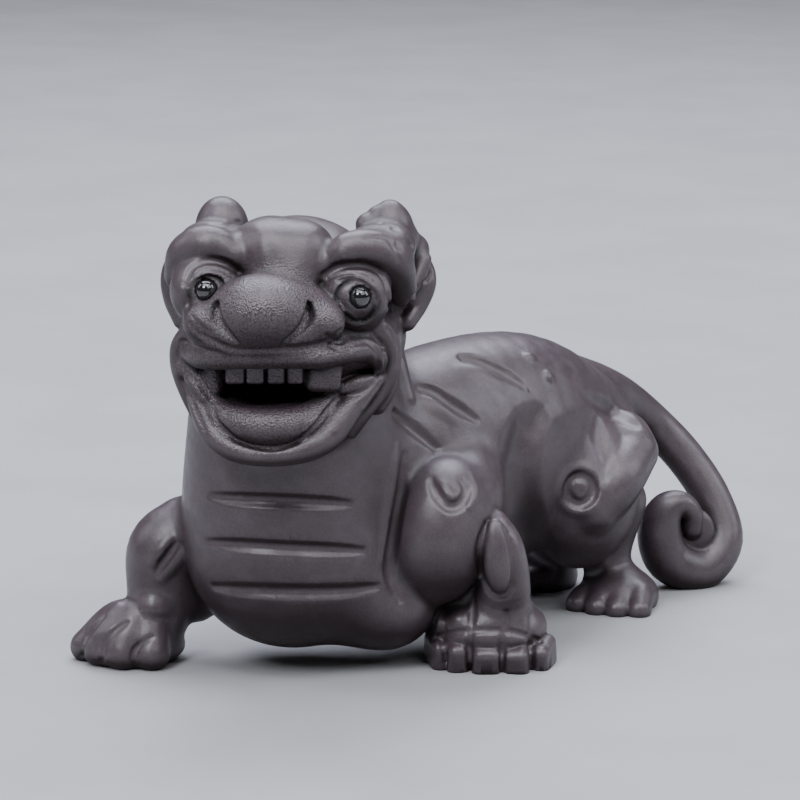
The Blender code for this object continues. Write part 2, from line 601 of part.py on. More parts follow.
def all_strokes():
    """Every groove and ridge as (line, width, depth)."""
    strokes = []
    for marks in FRONT_MARKS, FLANK_MARKS:
        courses = [course for group, _, _ in marks for course in group]
        sizes = [(width, depth) for group, width, depth in marks for _ in group]
        lines = laid(courses)
        strokes += [(line, *size) for line, size in zip(lines, sizes)]
    far = [np.column_stack((across(line[:, :3]), line[:, 3])) for line in lines]
    return strokes + [(line, *size) for line, size in zip(settled(far), sizes)]


def sculptor():
    """Function that gives the signed distances of the finished clay."""
    strokes = all_strokes()

    def finished(points):
        clay = masses(points)
        for line, width, depth in strokes:
            clay.stroke(line, width, depth)
        for centre in bead_centres():
            clay.cut(ball(centre, BEAD_RADIUS + BEAD_GAP), 0.1)
        return np.maximum(clay.depth, -points[:, 2] - 0.6)

    return finished


def grid_points(low, shape, step, index):
    """Positions of the grid nodes with the given flat indices."""
    i, j, k = np.unravel_index(index, shape)
    return np.stack((i, j, k), axis=1) * step + low


def surface_mesh(field, low, high, step):
    """Vertices and faces of the zero level of a signed distance field."""
    low = np.array(low, dtype=float)
    ratio = 4
    coarse_step = step * ratio
    coarse_shape = tuple(int(math.ceil(span / coarse_step)) + 1 for span in (np.array(high) - low))
    coarse = field(grid_points(low, coarse_shape, coarse_step, np.arange(np.prod(coarse_shape))))
    coarse = coarse.reshape(coarse_shape)
    shape = tuple((count - 1) * ratio + 1 for count in coarse_shape)
    spread = np.repeat(np.repeat(np.repeat(coarse, ratio, 0), ratio, 1), ratio, 2)
    shift = ratio // 2
    dense = spread[shift:shift + shape[0], shift:shift + shape[1], shift:shift + shape[2]].copy()
    close = np.flatnonzero(np.abs(dense.ravel()) < coarse_step * 1.3)
    flat = dense.ravel()
    for start in range(0, len(close), 400000):
        part = close[start:start + 400000]
        flat[part] = field(grid_points(low, shape, step, part))
    grid = openvdb.FloatGrid()
    grid.copyFromArray(flat.reshape(shape).astype(np.float32))
    vertices, triangles, quads = grid.convertToPolygons(isovalue=0.0, adaptivity=0.0)
    return vertices * step + low, triangles, quads


def drop_specks(body):
    """Take away every loose shell but the largest."""
    waiting = set(body.verts)
    shells = []
    while waiting:
        front = [waiting.pop()]
        shell = []
        while front:
            vertex = front.pop()
            shell.append(vertex)
            near = {edge.other_vert(vertex) for edge in vertex.link_edges} & waiting
            waiting -= near
            front.extend(near)
        shells.append(shell)
    largest = max(shells, key=len)
    specks = [vertex for shell in shells if shell is not largest for vertex in shell]
    bmesh.ops.delete(body, geom=specks, context="VERTS")


def clay_mesh(name):
    """The clay as a light mesh with flat soles, in metres, turned along Y and centred."""
    vertices, triangles, quads = surface_mesh(sculptor(), (-44, -32, -3), (84, 82, 84), GRAIN)
    mesh = bpy.data.meshes.new(name)
    faces = quads.tolist() + triangles.tolist()
    mesh.from_pydata(vertices.tolist(), [], faces)
    obj = bpy.data.objects.new(name, mesh)
    bpy.context.scene.collection.objects.link(obj)
    sides = 2 * len(quads) + len(triangles)
    thin = obj.modifiers.new("Thin", "DECIMATE")
    thin.ratio = TRIANGLES / sides
    thin.use_collapse_triangulate = True
    graph = bpy.context.evaluated_depsgraph_get()
    body = bmesh.new()
    body.from_mesh(obj.evaluated_get(graph).to_mesh())
    obj.modifiers.remove(thin)
    drop_specks(body)
    everything = body.verts[:] + body.edges[:] + body.faces[:]
    bmesh.ops.bisect_plane(body, geom=everything, dist=1e-4, plane_co=(0, 0, 0),
                           plane_no=(0, 0, 1), clear_inner=True)
    rims = [edge for edge in body.edges if edge.is_boundary]
    bmesh.ops.holes_fill(body, edges=rims, sides=0)
    bmesh.ops.triangulate(body, faces=[face for face in body.faces if len(face.verts) > 3])
    body.to_mesh(mesh)
    body.free()
    return obj


def clay_frame(obj):
    """Matrix from the drawing's frame in millimetres to the figure's own frame in metres."""
    turn = Matrix.Rotation(BACK_TURN, 4, "Z")
    corners = [turn @ vertex.co for vertex in obj.data.vertices]
    middle = [(min(c[axis] for c in corners) + max(c[axis] for c in corners)) / 2 for axis in (0, 1)]
    return Matrix.Scale(MM, 4) @ Matrix.Translation((-middle[0], -middle[1], 0.0)) @ turn


def material(name, colour, roughness, metallic):
    """Principled surface."""
    made = bpy.data.materials.new(name)
    made.use_nodes = True
    shader = made.node_tree.nodes["Principled BSDF"]
    shader.inputs["Base Color"].default_value = (*colour, 1.0)
    shader.inputs["Roughness"].default_value = roughness
    shader.inputs["Metallic"].default_value = metallic
    return made


def add_bead(name, centre, frame):
    """Round eye bead."""
    mesh = bpy.data.meshes.new(name)
    body = bmesh.new()
    bmesh.ops.create_uvsphere(body, u_segments=14, v_segments=8, radius=BEAD_RADIUS * MM)
    body.to_mesh(mesh)
    body.free()
    mesh.shade_smooth()
    bead = bpy.data.objects.new(name, mesh)
    bead.location = frame @ Vector(centre)
    bpy.context.scene.collection.objects.link(bead)
    return bead


def main():
    for old in list(bpy.data.objects):
        bpy.data.objects.remove(old)
    body = clay_mesh("pixiu_body")
    frame = clay_frame(body)
    body.data.transform(frame)
    body.data.shade_smooth()
    body.data.materials.append(material("Purple clay", (0.105, 0.083, 0.085), 0.46, 0.0))
    glaze = material("Black bead", (0.012, 0.012, 0.014), 0.08, 0.0)
    for name, centre in zip(("right_eye", "left_eye"), bead_centres()):
        bead = add_bead(name, centre, frame)
        bead.data.materials.append(glaze)


if __name__ == "__main__":
    main()
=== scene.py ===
"""Looks of the pixiu figure: fine clay relief, clay and bead materials, light, floor and camera.

The clay is built as in the part's own source, from a front drawing on which a point is (u, v),
counted in steps across and down from the top left corner, and a depth y in millimetres behind the
toes. Here the field is read on a finer grid, and the finer folds, pits and wrinkles are worked in.
"""

import math

import bmesh
import bpy
import numpy as np
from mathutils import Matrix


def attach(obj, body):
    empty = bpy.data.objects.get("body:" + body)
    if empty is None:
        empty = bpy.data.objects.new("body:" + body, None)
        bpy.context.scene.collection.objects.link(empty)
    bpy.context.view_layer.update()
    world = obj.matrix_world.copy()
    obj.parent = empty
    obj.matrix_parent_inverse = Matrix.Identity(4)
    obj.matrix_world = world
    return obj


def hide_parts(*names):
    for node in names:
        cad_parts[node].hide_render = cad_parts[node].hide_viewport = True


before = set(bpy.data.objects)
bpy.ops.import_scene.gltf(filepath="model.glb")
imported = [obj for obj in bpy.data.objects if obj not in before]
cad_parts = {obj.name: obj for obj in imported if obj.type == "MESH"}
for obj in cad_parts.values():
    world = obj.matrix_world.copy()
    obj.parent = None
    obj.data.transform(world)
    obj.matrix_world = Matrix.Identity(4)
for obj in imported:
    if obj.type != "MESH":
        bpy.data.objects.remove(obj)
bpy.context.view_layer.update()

import openvdb
from mathutils import Euler, Matrix, Vector

MM = 0.001

# Front drawing: where it is seen from, in millimetres, and how far it looks down
EYE_POINT = np.array((14.6, -553.6, 166.0))
EYE_TILT = math.radians(12.2)
SHEET_CENTRE = 400.0
SHEET_FOCUS = 3511.0

# Turn of the back from the front drawing, and the footprint's middle after it, in millimetres
BACK_TURN = math.radians(45.0)
FOOTPRINT_MIDDLE = (-5.394, 35.655)

# Grid step of the field in millimetres, and the triangles left on the clay
GRAIN = 0.3
TRIANGLES = 190000

# Corners of the field, and how far it goes on under the ground, in millimetres
FIELD_LOW = (-44, -32, -3)
FIELD_HIGH = (84, 82, 84)
BELOW_GROUND = 0.6

# The field is read every few grid steps first, then at every point near the surface, in batches
COARSE_RATIO = 4
NEAR_SURFACE = 1.3
BATCH = 400000

# Reaches, in millimetres, over which painted shade darkens the clay in a crease and in a hollow
SHADE_REACHES = (("crease", 0.5), ("hollow", 2.5))

# Torso: its sideways direction and its middle in plan, and how narrow it is for its height
ASIDE = np.array((math.sin(BACK_TURN), -math.cos(BACK_TURN), 0.0))
LOIN = np.array((21.0, 26.0, 30.0))
TORSO_SQUEEZE = 0.73

# Forepaws and hind paws
SOLE = np.array((1.0, 1.0, 0.0))
SOLE_RISE = np.array((0.0, 0.0, 2.4))
HIND_TOES = np.array((-0.34, -0.94, 0.0))

# Muzzle: the middle of its leathery skin on the front drawing, with its depth, and its half-widths
MUZZLE = (266, 356, -16)
MUZZLE_REACH = (14.0, 16.0, 14.0)

# Eye beads: their radius and the play in their sockets
BEAD_RADIUS = 1.68
BEAD_GAP = 0.02

# Studio, in metres but for the sensor's width in millimetres
SENSOR_WIDTH = 36.0
FLOOR_RADIUS = 6.0
AIM_HEIGHT = 0.035


def at(u, v, y):
    """Point of the figure shown at (u, v) on the front drawing, at depth y."""
    rise = (SHEET_CENTRE - v) / SHEET_FOCUS
    away = y - EYE_POINT[1]
    cos_t = math.cos(EYE_TILT)
    sin_t = math.sin(EYE_TILT)
    drop = away * (rise * cos_t - sin_t) / (cos_t + rise * sin_t)
    reach = away * cos_t - drop * sin_t
    x = EYE_POINT[0] + (u - SHEET_CENTRE) * reach / SHEET_FOCUS
    return np.array((x, y, EYE_POINT[2] + drop))


def turning(turn):
    """Rotation matrix for (tilt about x, roll about y, yaw about z), in degrees."""
    a, b, c = (math.radians(angle) for angle in turn)
    rx = np.array(((1, 0, 0), (0, math.cos(a), -math.sin(a)), (0, math.sin(a), math.cos(a))))
    ry = np.array(((math.cos(b), 0, math.sin(b)), (0, 1, 0), (-math.sin(b), 0, math.cos(b))))
    rz = np.array(((math.cos(c), -math.sin(c), 0), (math.sin(c), math.cos(c), 0), (0, 0, 1)))
    return rz @ ry @ rx


def ball(centre, radii, turn=(0, 0, 0)):
    """Ellipsoid: its middle, its reach and its distance function."""
    centre = np.array(centre, dtype=float)
    radii = np.broadcast_to(np.array(radii, dtype=float), 3)
    axes = turning(turn)

    def distance(points):
        local = (points - centre) @ axes
        near = np.linalg.norm(local / radii, axis=1)
        slope = np.linalg.norm(local / radii ** 2, axis=1)
        return near * (near - 1.0) / np.maximum(slope, 1e-6)

    reach = radii.max() * np.ones(3)
    return centre - reach, centre + reach, distance


def slab(centre, half, rounding, turn=(0, 0, 0)):
    """Box with rounded edges."""
    centre = np.array(centre, dtype=float)
    half = np.array(half, dtype=float)
    axes = turning(turn)

    def distance(points):
        beyond = np.abs((points - centre) @ axes) - half + rounding
        outside = np.linalg.norm(np.maximum(beyond, 0.0), axis=1)
        return outside + np.minimum(beyond.max(axis=1), 0.0) - rounding

    reach = np.linalg.norm(half) * np.ones(3)
    return centre - reach, centre + reach, distance


def smooth_line(knots, pieces=6):
    """Points along a smooth curve through the knots (any number of columns)."""
    knots = np.array(knots, dtype=float)
    if len(knots) == 2:
        steps = np.linspace(0.0, 1.0, pieces + 1)[:, None]
        return knots[0] + (knots[1] - knots[0]) * steps
    padded = np.vstack((2 * knots[0] - knots[1], knots, 2 * knots[-1] - knots[-2]))
    line = []
    for i in range(1, len(padded) - 2):
        a, b, c, d = padded[i - 1:i + 3]
        for t in np.arange(pieces) / pieces:
            line.append(0.5 * (2 * b + (c - a) * t + (2 * a - 5 * b + 4 * c - d) * t ** 2
                               + (3 * b - a - 3 * c + d) * t ** 3))
    line.append(knots[-1])
    return np.array(line)


def limb(knots, pieces=6):
    """Round limb along a smooth curve; each knot is (point, radius)."""
    line = smooth_line([(*point, radius) for point, radius in knots], pieces)
    centres = line[:, :3]
    radii = line[:, 3]

    def distance(points):
        best = np.full(len(points), 1e3)
        for i in range(len(line) - 1):
            span = centres[i + 1] - centres[i]
            offset = points - centres[i]
            t = np.clip(offset @ span / max(span @ span, 1e-9), 0.0, 1.0)
            gap = np.linalg.norm(offset - t[:, None] * span, axis=1)
            best = np.minimum(best, gap - radii[i] - t * (radii[i + 1] - radii[i]))
        return best

    reach = radii.max()
    return centres.min(axis=0) - reach, centres.max(axis=0) + reach, distance


class Clay:
    """Signed distances of the clay at a set of points, in millimetres."""

    MARGIN = 3.5

    def __init__(self, points):
        self.points = points
        self.depth = np.full(len(points), 40.0)

    def close_to(self, low, high, reach):
        """Indices of the points within reach of a box."""
        inside = np.ones(len(self.points), dtype=bool)
        for axis in range(3):
            column = self.points[:, axis]
            inside &= (column > low[axis] - reach) & (column < high[axis] + reach)
        return np.flatnonzero(inside)

    def add(self, shape, blend=1.0):
        """Join a shape to the clay with a fillet."""
        low, high, distance = shape
        index = self.close_to(low, high, blend + self.MARGIN)
        if len(index):
            old = self.depth[index]
            new = distance(self.points[index])
            mix = np.maximum(blend - np.abs(old - new), 0.0) / blend
            self.depth[index] = np.minimum(old, new) - mix ** 2 * blend / 4

    def cut(self, shape, blend=0.5):
        """Take a shape out of the clay with a softened edge."""
        low, high, distance = shape
        index = self.close_to(low, high, blend + self.MARGIN)
        if len(index):
            old = self.depth[index]
            new = -distance(self.points[index])
            mix = np.maximum(blend - np.abs(old - new), 0.0) / blend
            self.depth[index] = np.maximum(old, new) + mix ** 2 * blend / 4

    def stroke(self, line, width, depth, sharp=2.0):
        """Groove (depth above 0) or ridge (below 0) along a line; its last column scales it."""
        centres = line[:, :3]
        scale = line[:, 3]
        low = centres.min(axis=0)
        high = centres.max(axis=0)
        index = self.close_to(low, high, width)
        if not len(index):
            return
        points = self.points[index]
        best = np.zeros(len(points))
        for i in range(len(line) - 1):
            span = centres[i + 1] - centres[i]
            offset = points - centres[i]
            t = np.clip(offset @ span / max(span @ span, 1e-9), 0.0, 1.0)
            gap = np.linalg.norm(offset - t[:, None] * span, axis=1)
            size = scale[i] + t * (scale[i + 1] - scale[i])
            near = np.clip(1.0 - (gap / (width * (0.5 + 0.5 * size))) ** 2, 0.0, 1.0)
            best = np.maximum(best, size * near ** sharp)
        self.depth[index] += depth * best


def across(point):
    """The matching point on the other flank of the torso."""
    point = np.array(point, dtype=float)
    return point - 2.0 * np.outer((point - LOIN) @ ASIDE, ASIDE).reshape(point.shape)


def flattened(shape, squeeze):
    """The shape narrowed across the torso."""
    low, high, distance = shape

    def narrowed(points):
        side = (points - LOIN) @ ASIDE
        widened = points + np.outer(side * (1.0 / squeeze - 1.0), ASIDE)
        return distance(widened) * (1.0 + squeeze) / 2

    return low, high, narrowed


def add_torso(clay):
    """Barrel-shaped trunk from the shoulders to the rump, and the column of neck and chest."""
    trunk = limb((((3, 11, 27), 17.0), ((11, 17, 28.5), 19.0), ((21, 26, 30), 20.4),
                  ((33, 37, 30.5), 19.4), ((43, 48, 27), 15.4), ((47, 53, 25.5), 12.2)))
    clay.add(flattened(trunk, TORSO_SQUEEZE), 3.0)
    clay.add(limb((((-2.0, 8, 60), 15.0), ((-2.6, 8, 50), 16.3), ((-3.4, 7.5, 38), 17.0),
                   ((-4.0, 7.5, 26), 17.3), ((-4.0, 8, 21), 16.0))), 6.0)
    clay.add(ball((-2.2, 8, 18), (16.6, 15.5, 14.0)), 5.0)
    clay.add(ball((28, 32, 16), (14.0, 8.5, 7.6), (0, 0, 45)), 5.0)
    clay.add(ball(at(382, 600, 7), (9.2, 9.5, 8.2)), 5.0)
    clay.add(ball(at(197, 583, 13), (4.6, 5.0, 6.6)), 3.0)


def add_foreleg_left(clay):
    """The beast's left foreleg: egg-shaped shoulder, short forearm and broad paw."""
    clay.add(ball(at(470, 496, 11.5), (5.6, 7.0, 7.5)), 4.0)
    clay.add(ball(at(438, 530, 6.8), (9.3, 10.6, 12.6), (0, 10, 0)), 1.6)
    clay.add(limb(((at(495, 523, 5.0), 2.2), (at(501, 548, 3.6), 3.7), (at(504, 580, 5.0), 4.3),
                   (at(498, 615, 8.5), 5.4))), 1.0)
    clay.add(ball(at(497, 556, 0.6), (2.5, 2.0, 6.3), (-6, -4, 0)), 0.4)
    clay.add(ball(at(488, 626, 9), (9.8, 8.2, 5.6)), 2.0)
    clay.add(ball(at(464, 592, 8.5), (2.6, 3.0, 2.4)), 1.5)
    clay.add(ball(at(488, 650, 9) * SOLE + SOLE_RISE, (9.4, 8.0, 3.6)), 1.0)
    for u, v, reach, half in ((437, 651, 3.4, 1.5), (456, 654, 2.0, 1.9), (486, 658, 1.2, 2.4),
                              (517, 659, 1.4, 2.3), (542, 656, 3.2, 1.8)):
        tip = at(u, v, reach + 2.6)
        clay.add(slab(tip, (half, 3.6, 2.9), 1.4, (12, 0, (488 - u) * 0.35)), 0.35)
    for u, v, reach, half in ((441, 622, 4.6, 1.7), (460, 618, 3.6, 1.9), (489, 619, 3.2, 2.3),
                              (516, 621, 3.8, 2.0), (529, 629, 5.6, 1.4)):
        knuckle = at(u, v, reach + 2.6)
        clay.add(slab(knuckle, (half, 3.4, 2.5), 1.5, (25, 0, (488 - u) * 0.35)), 0.5)


def add_foreleg_right(clay):
    """The beast's right foreleg, set out to the side with its toes fanned outwards."""
    clay.add(limb(((at(187, 535, 12), 6.6), (at(167, 551, 11), 6.6), (at(162, 582, 11), 5.9),
                   (at(160, 610, 10.5), 5.2))), 2.0)
    clay.add(ball(at(154, 607, 6.5), (2.6, 2.6, 2.4)), 1.5)
    clay.add(ball(at(134, 635, 9.6), (8.0, 7.2, 5.4), (0, 0, 15)), 2.0)
    clay.add(ball(at(134, 650, 9.5) * SOLE + SOLE_RISE, (8.6, 7.4, 3.4), (0, 0, 15)), 1.0)
    wrist = at(150, 618, 10)
    for u, v, reach, radius in ((87, 646, 9.0, 2.8), (100, 648, 6.0, 3.0), (124, 651, 3.8, 3.2),
                                (152, 653, 3.4, 3.0)):
        tip = at(u, v, reach + 1.0)
        middle = (tip + wrist) / 2 + np.array((0.0, 0.0, 2.6))
        clay.add(limb(((tip, radius), (middle, radius), (wrist, 2.6))), 0.5)


def add_hind_leg(clay, side):
    """One hind leg; side is the function that puts a point on its flank of the torso."""
    along_back = (0, 0, -math.degrees(BACK_TURN))
    knee = side(at(592, 508, 32))
    calf = side(at(614, 480, 34.5))
    hock = side(at(632, 452, 40.5))
    ankle = side(at(606, 556, 47))
    paw = side(at(614, 600, 42))
    ahead = side(LOIN + HIND_TOES) - LOIN
    beside = np.array((-ahead[1], ahead[0], 0.0))
    clay.add(ball(side(at(579, 490, 38.6)), (9.9, 11.4, 13.8), along_back), 1.6)
    clay.add(limb(((knee, 4.6), (calf, 5.0), (hock, 4.6))), 0.8)
    clay.add(ball(side(at(620, 441, 43)), (5.6, 5.6, 5.4)), 1.2)
    clay.add(limb(((side(at(618, 500, 46)), 5.0), (ankle, 4.4), (paw - ahead * 4, 4.8))), 1.5)
    clay.add(ball(paw - ahead * 2.5 + np.array((0, 0, 0.4)), (7.2, 7.2, 4.8)), 1.5)
    for step in (-1.5, -0.5, 0.5, 1.5):
        tip = paw + beside * 3.7 * step + ahead * (4.6 - 0.5 * step ** 2) - np.array((0, 0, 0.4))
        heel = paw + beside * 2.5 * step - ahead * 4.0 + np.array((0, 0, 0.4))
        middle = (tip + heel) / 2 + np.array((0, 0, 1.2))
        clay.add(limb(((tip, 2.2), (middle, 2.6), (heel, 2.4))), 0.6)


def add_tail(clay):
    """Tail from the top of the rump, out and down to the ground and rolled in at its end."""
    course = ((572, 372, 52, 3.2), (598, 386, 56, 3.9), (623, 401, 61.0, 4.0), (653, 424, 65, 3.6),
              (684, 456, 65, 3.5), (711, 497, 63, 3.5), (723, 540, 60, 3.6), (700, 569, 57, 4.0),
              (669, 560, 55, 4.1), (659, 532, 54, 3.9), (666, 510, 54, 3.1), (681, 504, 54.5, 2.3),
              (692, 514, 55, 1.9), (692, 529, 55.5, 1.8))
    clay.add(limb([(at(u, v, y), radius) for u, v, y, radius in course]), 0.9)
    clay.add(ball(at(688, 531, 56.9), (4.8, 1.8, 4.6)), 0.5)


def seen_on(centre, radius, u, v):
    """Point of a sphere that the front drawing shows at (u, v), or its nearest edge point."""
    sight = at(u, v, centre[1]) - EYE_POINT
    sight /= np.linalg.norm(sight)
    along = (centre - EYE_POINT) @ sight
    aside = EYE_POINT + sight * along - centre
    miss = np.linalg.norm(aside)
    if miss >= radius:
        return centre + aside * radius / miss
    return centre + aside - sight * math.sqrt(radius ** 2 - miss ** 2)


CHEEK_FOLDS = (
    ((352, 318, -12, 1.4), (377, 326, -10.2, 1.6), (390, 345, -9.4, 1.6), (391, 368, -9.0, 1.5),
     (381, 391, -9.4, 1.3), (366, 412, -10.0, 1.1), (352, 434, -9.5, 0.8)),
    ((362, 328, -8, 2.2), (384, 338, -6, 2.3), (387, 362, -5.5, 2.3), (382, 388, -6.0, 2.2),
     (376, 404, -6.5, 1.8)),
    ((190, 330, -10.5, 1.4), (180, 346, -9.0, 1.5), (179, 366, -8.8, 1.4), (186, 389, -9.5, 1.3),
     (196, 412, -10.0, 1.1), (208, 434, -10.5, 0.8)),
    ((184, 370, -10.5, 1.0), (194, 380, -12.0, 1.1), (204, 390, -13.4, 1.1), (212, 404, -14.4, 1.0),
     (220, 424, -16.4, 0.8)),
)


def add_face(clay):
    """Skull, cheeks, jaw and brows, without the openings."""
    clay.add(ball((-2.6, 2.0, 57.2), (18.2, 15.6, 14.0)), 4.0)
    clay.add(ball(at(286, 338, -7), (16.4, 11.0, 8.0)), 3.0)
    clay.add(ball(at(279, 395, -5), (14.2, 12.5, 9.4)), 2.5)
    clay.add(ball(at(270, 345, -13), (12.8, 9.5, 5.2)), 2.0)
    clay.add(ball(at(272, 250, -9.5), (6.6, 7.0, 5.4)), 2.5)
    clay.add(ball(at(306, 252, -9.4), (4.6, 6.0, 4.8)), 2.5)
    clay.add(ball(at(284, 276, -11), (6.4, 7.0, 5.5)), 2.0)
    clay.add(ball(at(212, 243, -6.5), (5.3, 5.4, 3.6), (0, 0, 10)), 2.0)
    clay.add(ball(at(381, 246, -5.5), (5.6, 5.6, 3.8), (0, 0, -10)), 2.0)
    clay.add(limb(((at(180, 275, -8), 2.5), (at(187, 254, -10.5), 3.1), (at(208, 245, -12), 3.2),
                   (at(231, 254, -12.5), 2.7))), 1.6)
    clay.add(limb(((at(327, 264, -13), 2.1), (at(346, 251, -12.7), 2.8), (at(372, 250, -11.4), 3.2),
                   (at(394, 265, -8.8), 3.1), (at(402, 292, -5.5), 2.4))), 1.6)
    for fold in CHEEK_FOLDS:
        clay.add(limb([(at(u, v, y), radius) for u, v, y, radius in fold]), 1.6)


EAR_RIMS = (
    ((412, 258, 2), (424, 267, 3), (427, 284, 2), (419, 304, 1), (407, 322, -1)),
    ((180, 256, 3), (172, 268, 4), (170, 284, 3), (175, 304, 2), (182, 320, 1)),
)


def add_horns_and_ears(clay):
    """Stubby horns, leaf-shaped ears and the locks behind them."""
    clay.add(limb(((at(222, 240, -1), 4.6), (at(222, 223, -1), 4.1),
                   (at(221.5, 212, -1), 2.5))), 1.4)
    clay.add(limb(((at(390, 242, 0), 4.4), (at(390, 226, 0), 3.7), (at(390, 215, 0), 2.5))), 1.4)
    clay.add(ball(at(368, 225, -1), 2.0), 1.0)
    clay.add(ball(at(377, 215, -0.5), 1.5), 0.6)
    clay.add(ball(at(401, 241, 2), (3.0, 4.0, 3.4)), 1.0)
    clay.add(ball(at(416, 251, 3), (2.2, 3.4, 2.7)), 0.8)
    clay.add(ball(at(410, 286, 3), (3.0, 4.0, 6.0)), 1.5)
    clay.add(ball(at(178, 288, 4), (2.4, 3.4, 5.4)), 1.5)
    for rim in EAR_RIMS:
        clay.add(limb([(at(u, v, y), 1.5) for u, v, y in rim]), 0.8)
    clay.add(limb(((at(424, 260, 0), 1.2), (at(416, 279, -1.5), 1.4),
                   (at(407, 297, -3.5), 1.0))), 1.4)
    for lock in range(7):
        add_lock(clay, lock)


def add_lock(clay, lock):
    """One of the wavy locks that hang down the back of the head."""
    lean = math.radians(24 + 22 * lock)
    out = np.array((math.cos(lean), math.sin(lean), 0.0))
    sway = np.array((-out[1], out[0], 0.0)) * (2.2 if lock % 2 else -2.2)
    crown = np.array((-2.0, 5.5, 0.0))
    low = 40 + 1.5 * abs(lock - 3) - 4 * (lock % 2)
    knots = []
    for level, reach, swing, radius in ((69, 8.5, 0, 2.0), (62, 14, 0.8, 2.6),
                                        (53, 16.4, -0.6, 2.6), (low + 4, 17.2, 0.4, 2.0),
                                        (low, 18.0, 1.6, 1.0)):
        knots.append((crown + out * reach + sway * swing + (0, 0, level), radius))
    clay.add(limb(knots), 0.8)


EYE_RIGHT = (207, 291, -13.6)
EYE_LEFT = (354, 296, -12.6)
EYEBALL = 4.6
LID = 5.9
LID_BEHIND = 0.9
LID_OPENINGS = (((209, 294), (205, 304)), ((354, 299), (359, 305)))
LID_OPENING_RADIUS = 3.0
GAZE = ((206, 290), (361, 297))
BEAD_DEPTH = 0.75


def open_eyes(clay):
    """Eye hollows under the brows, with the lids open over the eyeballs."""
    for spot, opening in zip((EYE_RIGHT, EYE_LEFT), LID_OPENINGS):
        centre = at(*spot)
        clay.cut(ball(centre + np.array((0, -3.4, -0.6)), (6.0, 4.6, 4.6)), 1.0)
        clay.add(ball(centre + np.array((0, LID_BEHIND, 0)), LID), 0.8)
        near, far = [[at(u, v, centre[1] + depth) for u, v in opening] for depth in (-9.0, 0.6)]
        for i, (share, blend) in enumerate(((1.0, 0.25), (0.9, 0.8))):
            radius = LID_OPENING_RADIUS * share
            clay.cut(limb(((near[i], radius), (far[i], radius)), 1), blend)
        clay.add(ball(centre, (EYEBALL, EYEBALL, EYEBALL - 0.2)), 0.3)


def open_mouth(clay):
    """Gape with the lips, the tongue, the upper teeth and the blunt fangs."""
    clay.cut(ball(at(266, 390, -17), (10.6, 8.5, 5.2)), 1.0)
    lip = ((189, 353, -11, 1.5), (203, 359, -16.0, 1.6), (238, 359, -20.6, 1.5),
           (280, 358, -21.3, 1.5), (320, 357, -19.9, 1.6), (346, 352, -16.8, 1.8),
           (366, 350, -13.6, 1.8), (378, 358, -12, 1.5), (378, 369, -11.2, 1.1))
    clay.add(limb([(at(u, v, y), radius) for u, v, y, radius in lip]), 0.8)
    clay.add(ball(at(268, 414, -9), (9.6, 8.0, 4.6)), 0.6)
    tongue = ((213, 398, -12.4, 1.6), (226, 417, -15.6, 2.5), (262, 427, -18.4, 3.0),
              (298, 423, -17.6, 2.8), (321, 408, -15.2, 2.0), (334, 394, -13.4, 1.4))
    clay.add(limb([(at(u, v, y), radius) for u, v, y, radius in tongue]), 0.8)
    clay.add(limb(((at(187, 364, -10.6), 1.4), (at(196, 379, -12.4), 1.6),
                   (at(206, 396, -14.0), 1.2))), 0.8)
    rim = ((192, 374, -9.8, 1.5), (198, 400, -12.4, 1.7), (211, 430, -15.6, 2.0),
           (233, 449, -18.0, 1.9), (264, 455, -19.0, 1.8), (300, 451, -18.4, 2.0),
           (327, 437, -16.6, 2.3), (345, 413, -14.4, 2.3), (364, 393, -12.0, 1.7),
           (378, 378, -10.4, 1.2))
    clay.add(limb([(at(u, v, y), radius) for u, v, y, radius in rim]), 0.35)
    clay.cut(ball(at(264, 390, -12), (7.4, 9.0, 2.0)), 0.5)
    for u, half in ((235.2, 1.48), (255.2, 1.42), (276.2, 1.38), (295.2, 1.22)):
        clay.add(slab(at(u, 370, -17.4), (half, 1.2, 2.1), 0.4), 0.12)
    clay.add(slab(at(323, 379, -15.9), (2.8, 1.6, 2.0), 1.2, (0, 6, 18)), 1.0)
    clay.add(slab(at(211, 381, -12.6), (1.6, 1.4, 2.2), 0.9, (0, -8, -20)), 0.6)
    clay.add(limb(((at(343, 388, -13.8), 1.3), (at(356, 384, -13.0), 1.5),
                   (at(369, 379, -11.8), 1.0))), 0.4)


NOSTRILS = (
    ((217, 308, -21.0, 1.0), (217, 319, -22.2, 1.1), (225, 332, -23.4, 0.9),
     (237, 344, -23.8, 0.4)),
    ((306, 308, -21.0, 1.0), (307, 318, -22.2, 1.1), (299, 331, -23.4, 0.9),
     (284, 343, -23.8, 0.4)),
)


def add_nose(clay):
    """Broad hooded nose with its ball, wings, and comma-shaped nostrils beside the ball."""
    clay.add(ball(at(266, 323, -15.4), (12.2, 8.8, 7.7)), 0.5)
    clay.add(ball(at(264, 313, -19.2), (7.8, 6.8, 6.1)), 1.4)
    clay.add(ball(at(203, 322, -17.6), (3.2, 3.4, 3.2)), 1.0)
    clay.add(ball(at(323, 322, -18.4), (3.4, 3.6, 3.2)), 1.0)
    for nostril in NOSTRILS:
        clay.cut(limb([(at(u, v, y), radius) for u, v, y, radius in nostril]), 0.6)


def masses(points):
    """The clay before the grooves are worked in."""
    clay = Clay(points)
    add_torso(clay)
    add_face(clay)
    add_horns_and_ears(clay)
    open_eyes(clay)
    add_nose(clay)
    open_mouth(clay)
    add_foreleg_left(clay)
    add_foreleg_right(clay)
    add_hind_leg(clay, np.array)
    add_hind_leg(clay, across)
    add_tail(clay)
    return clay


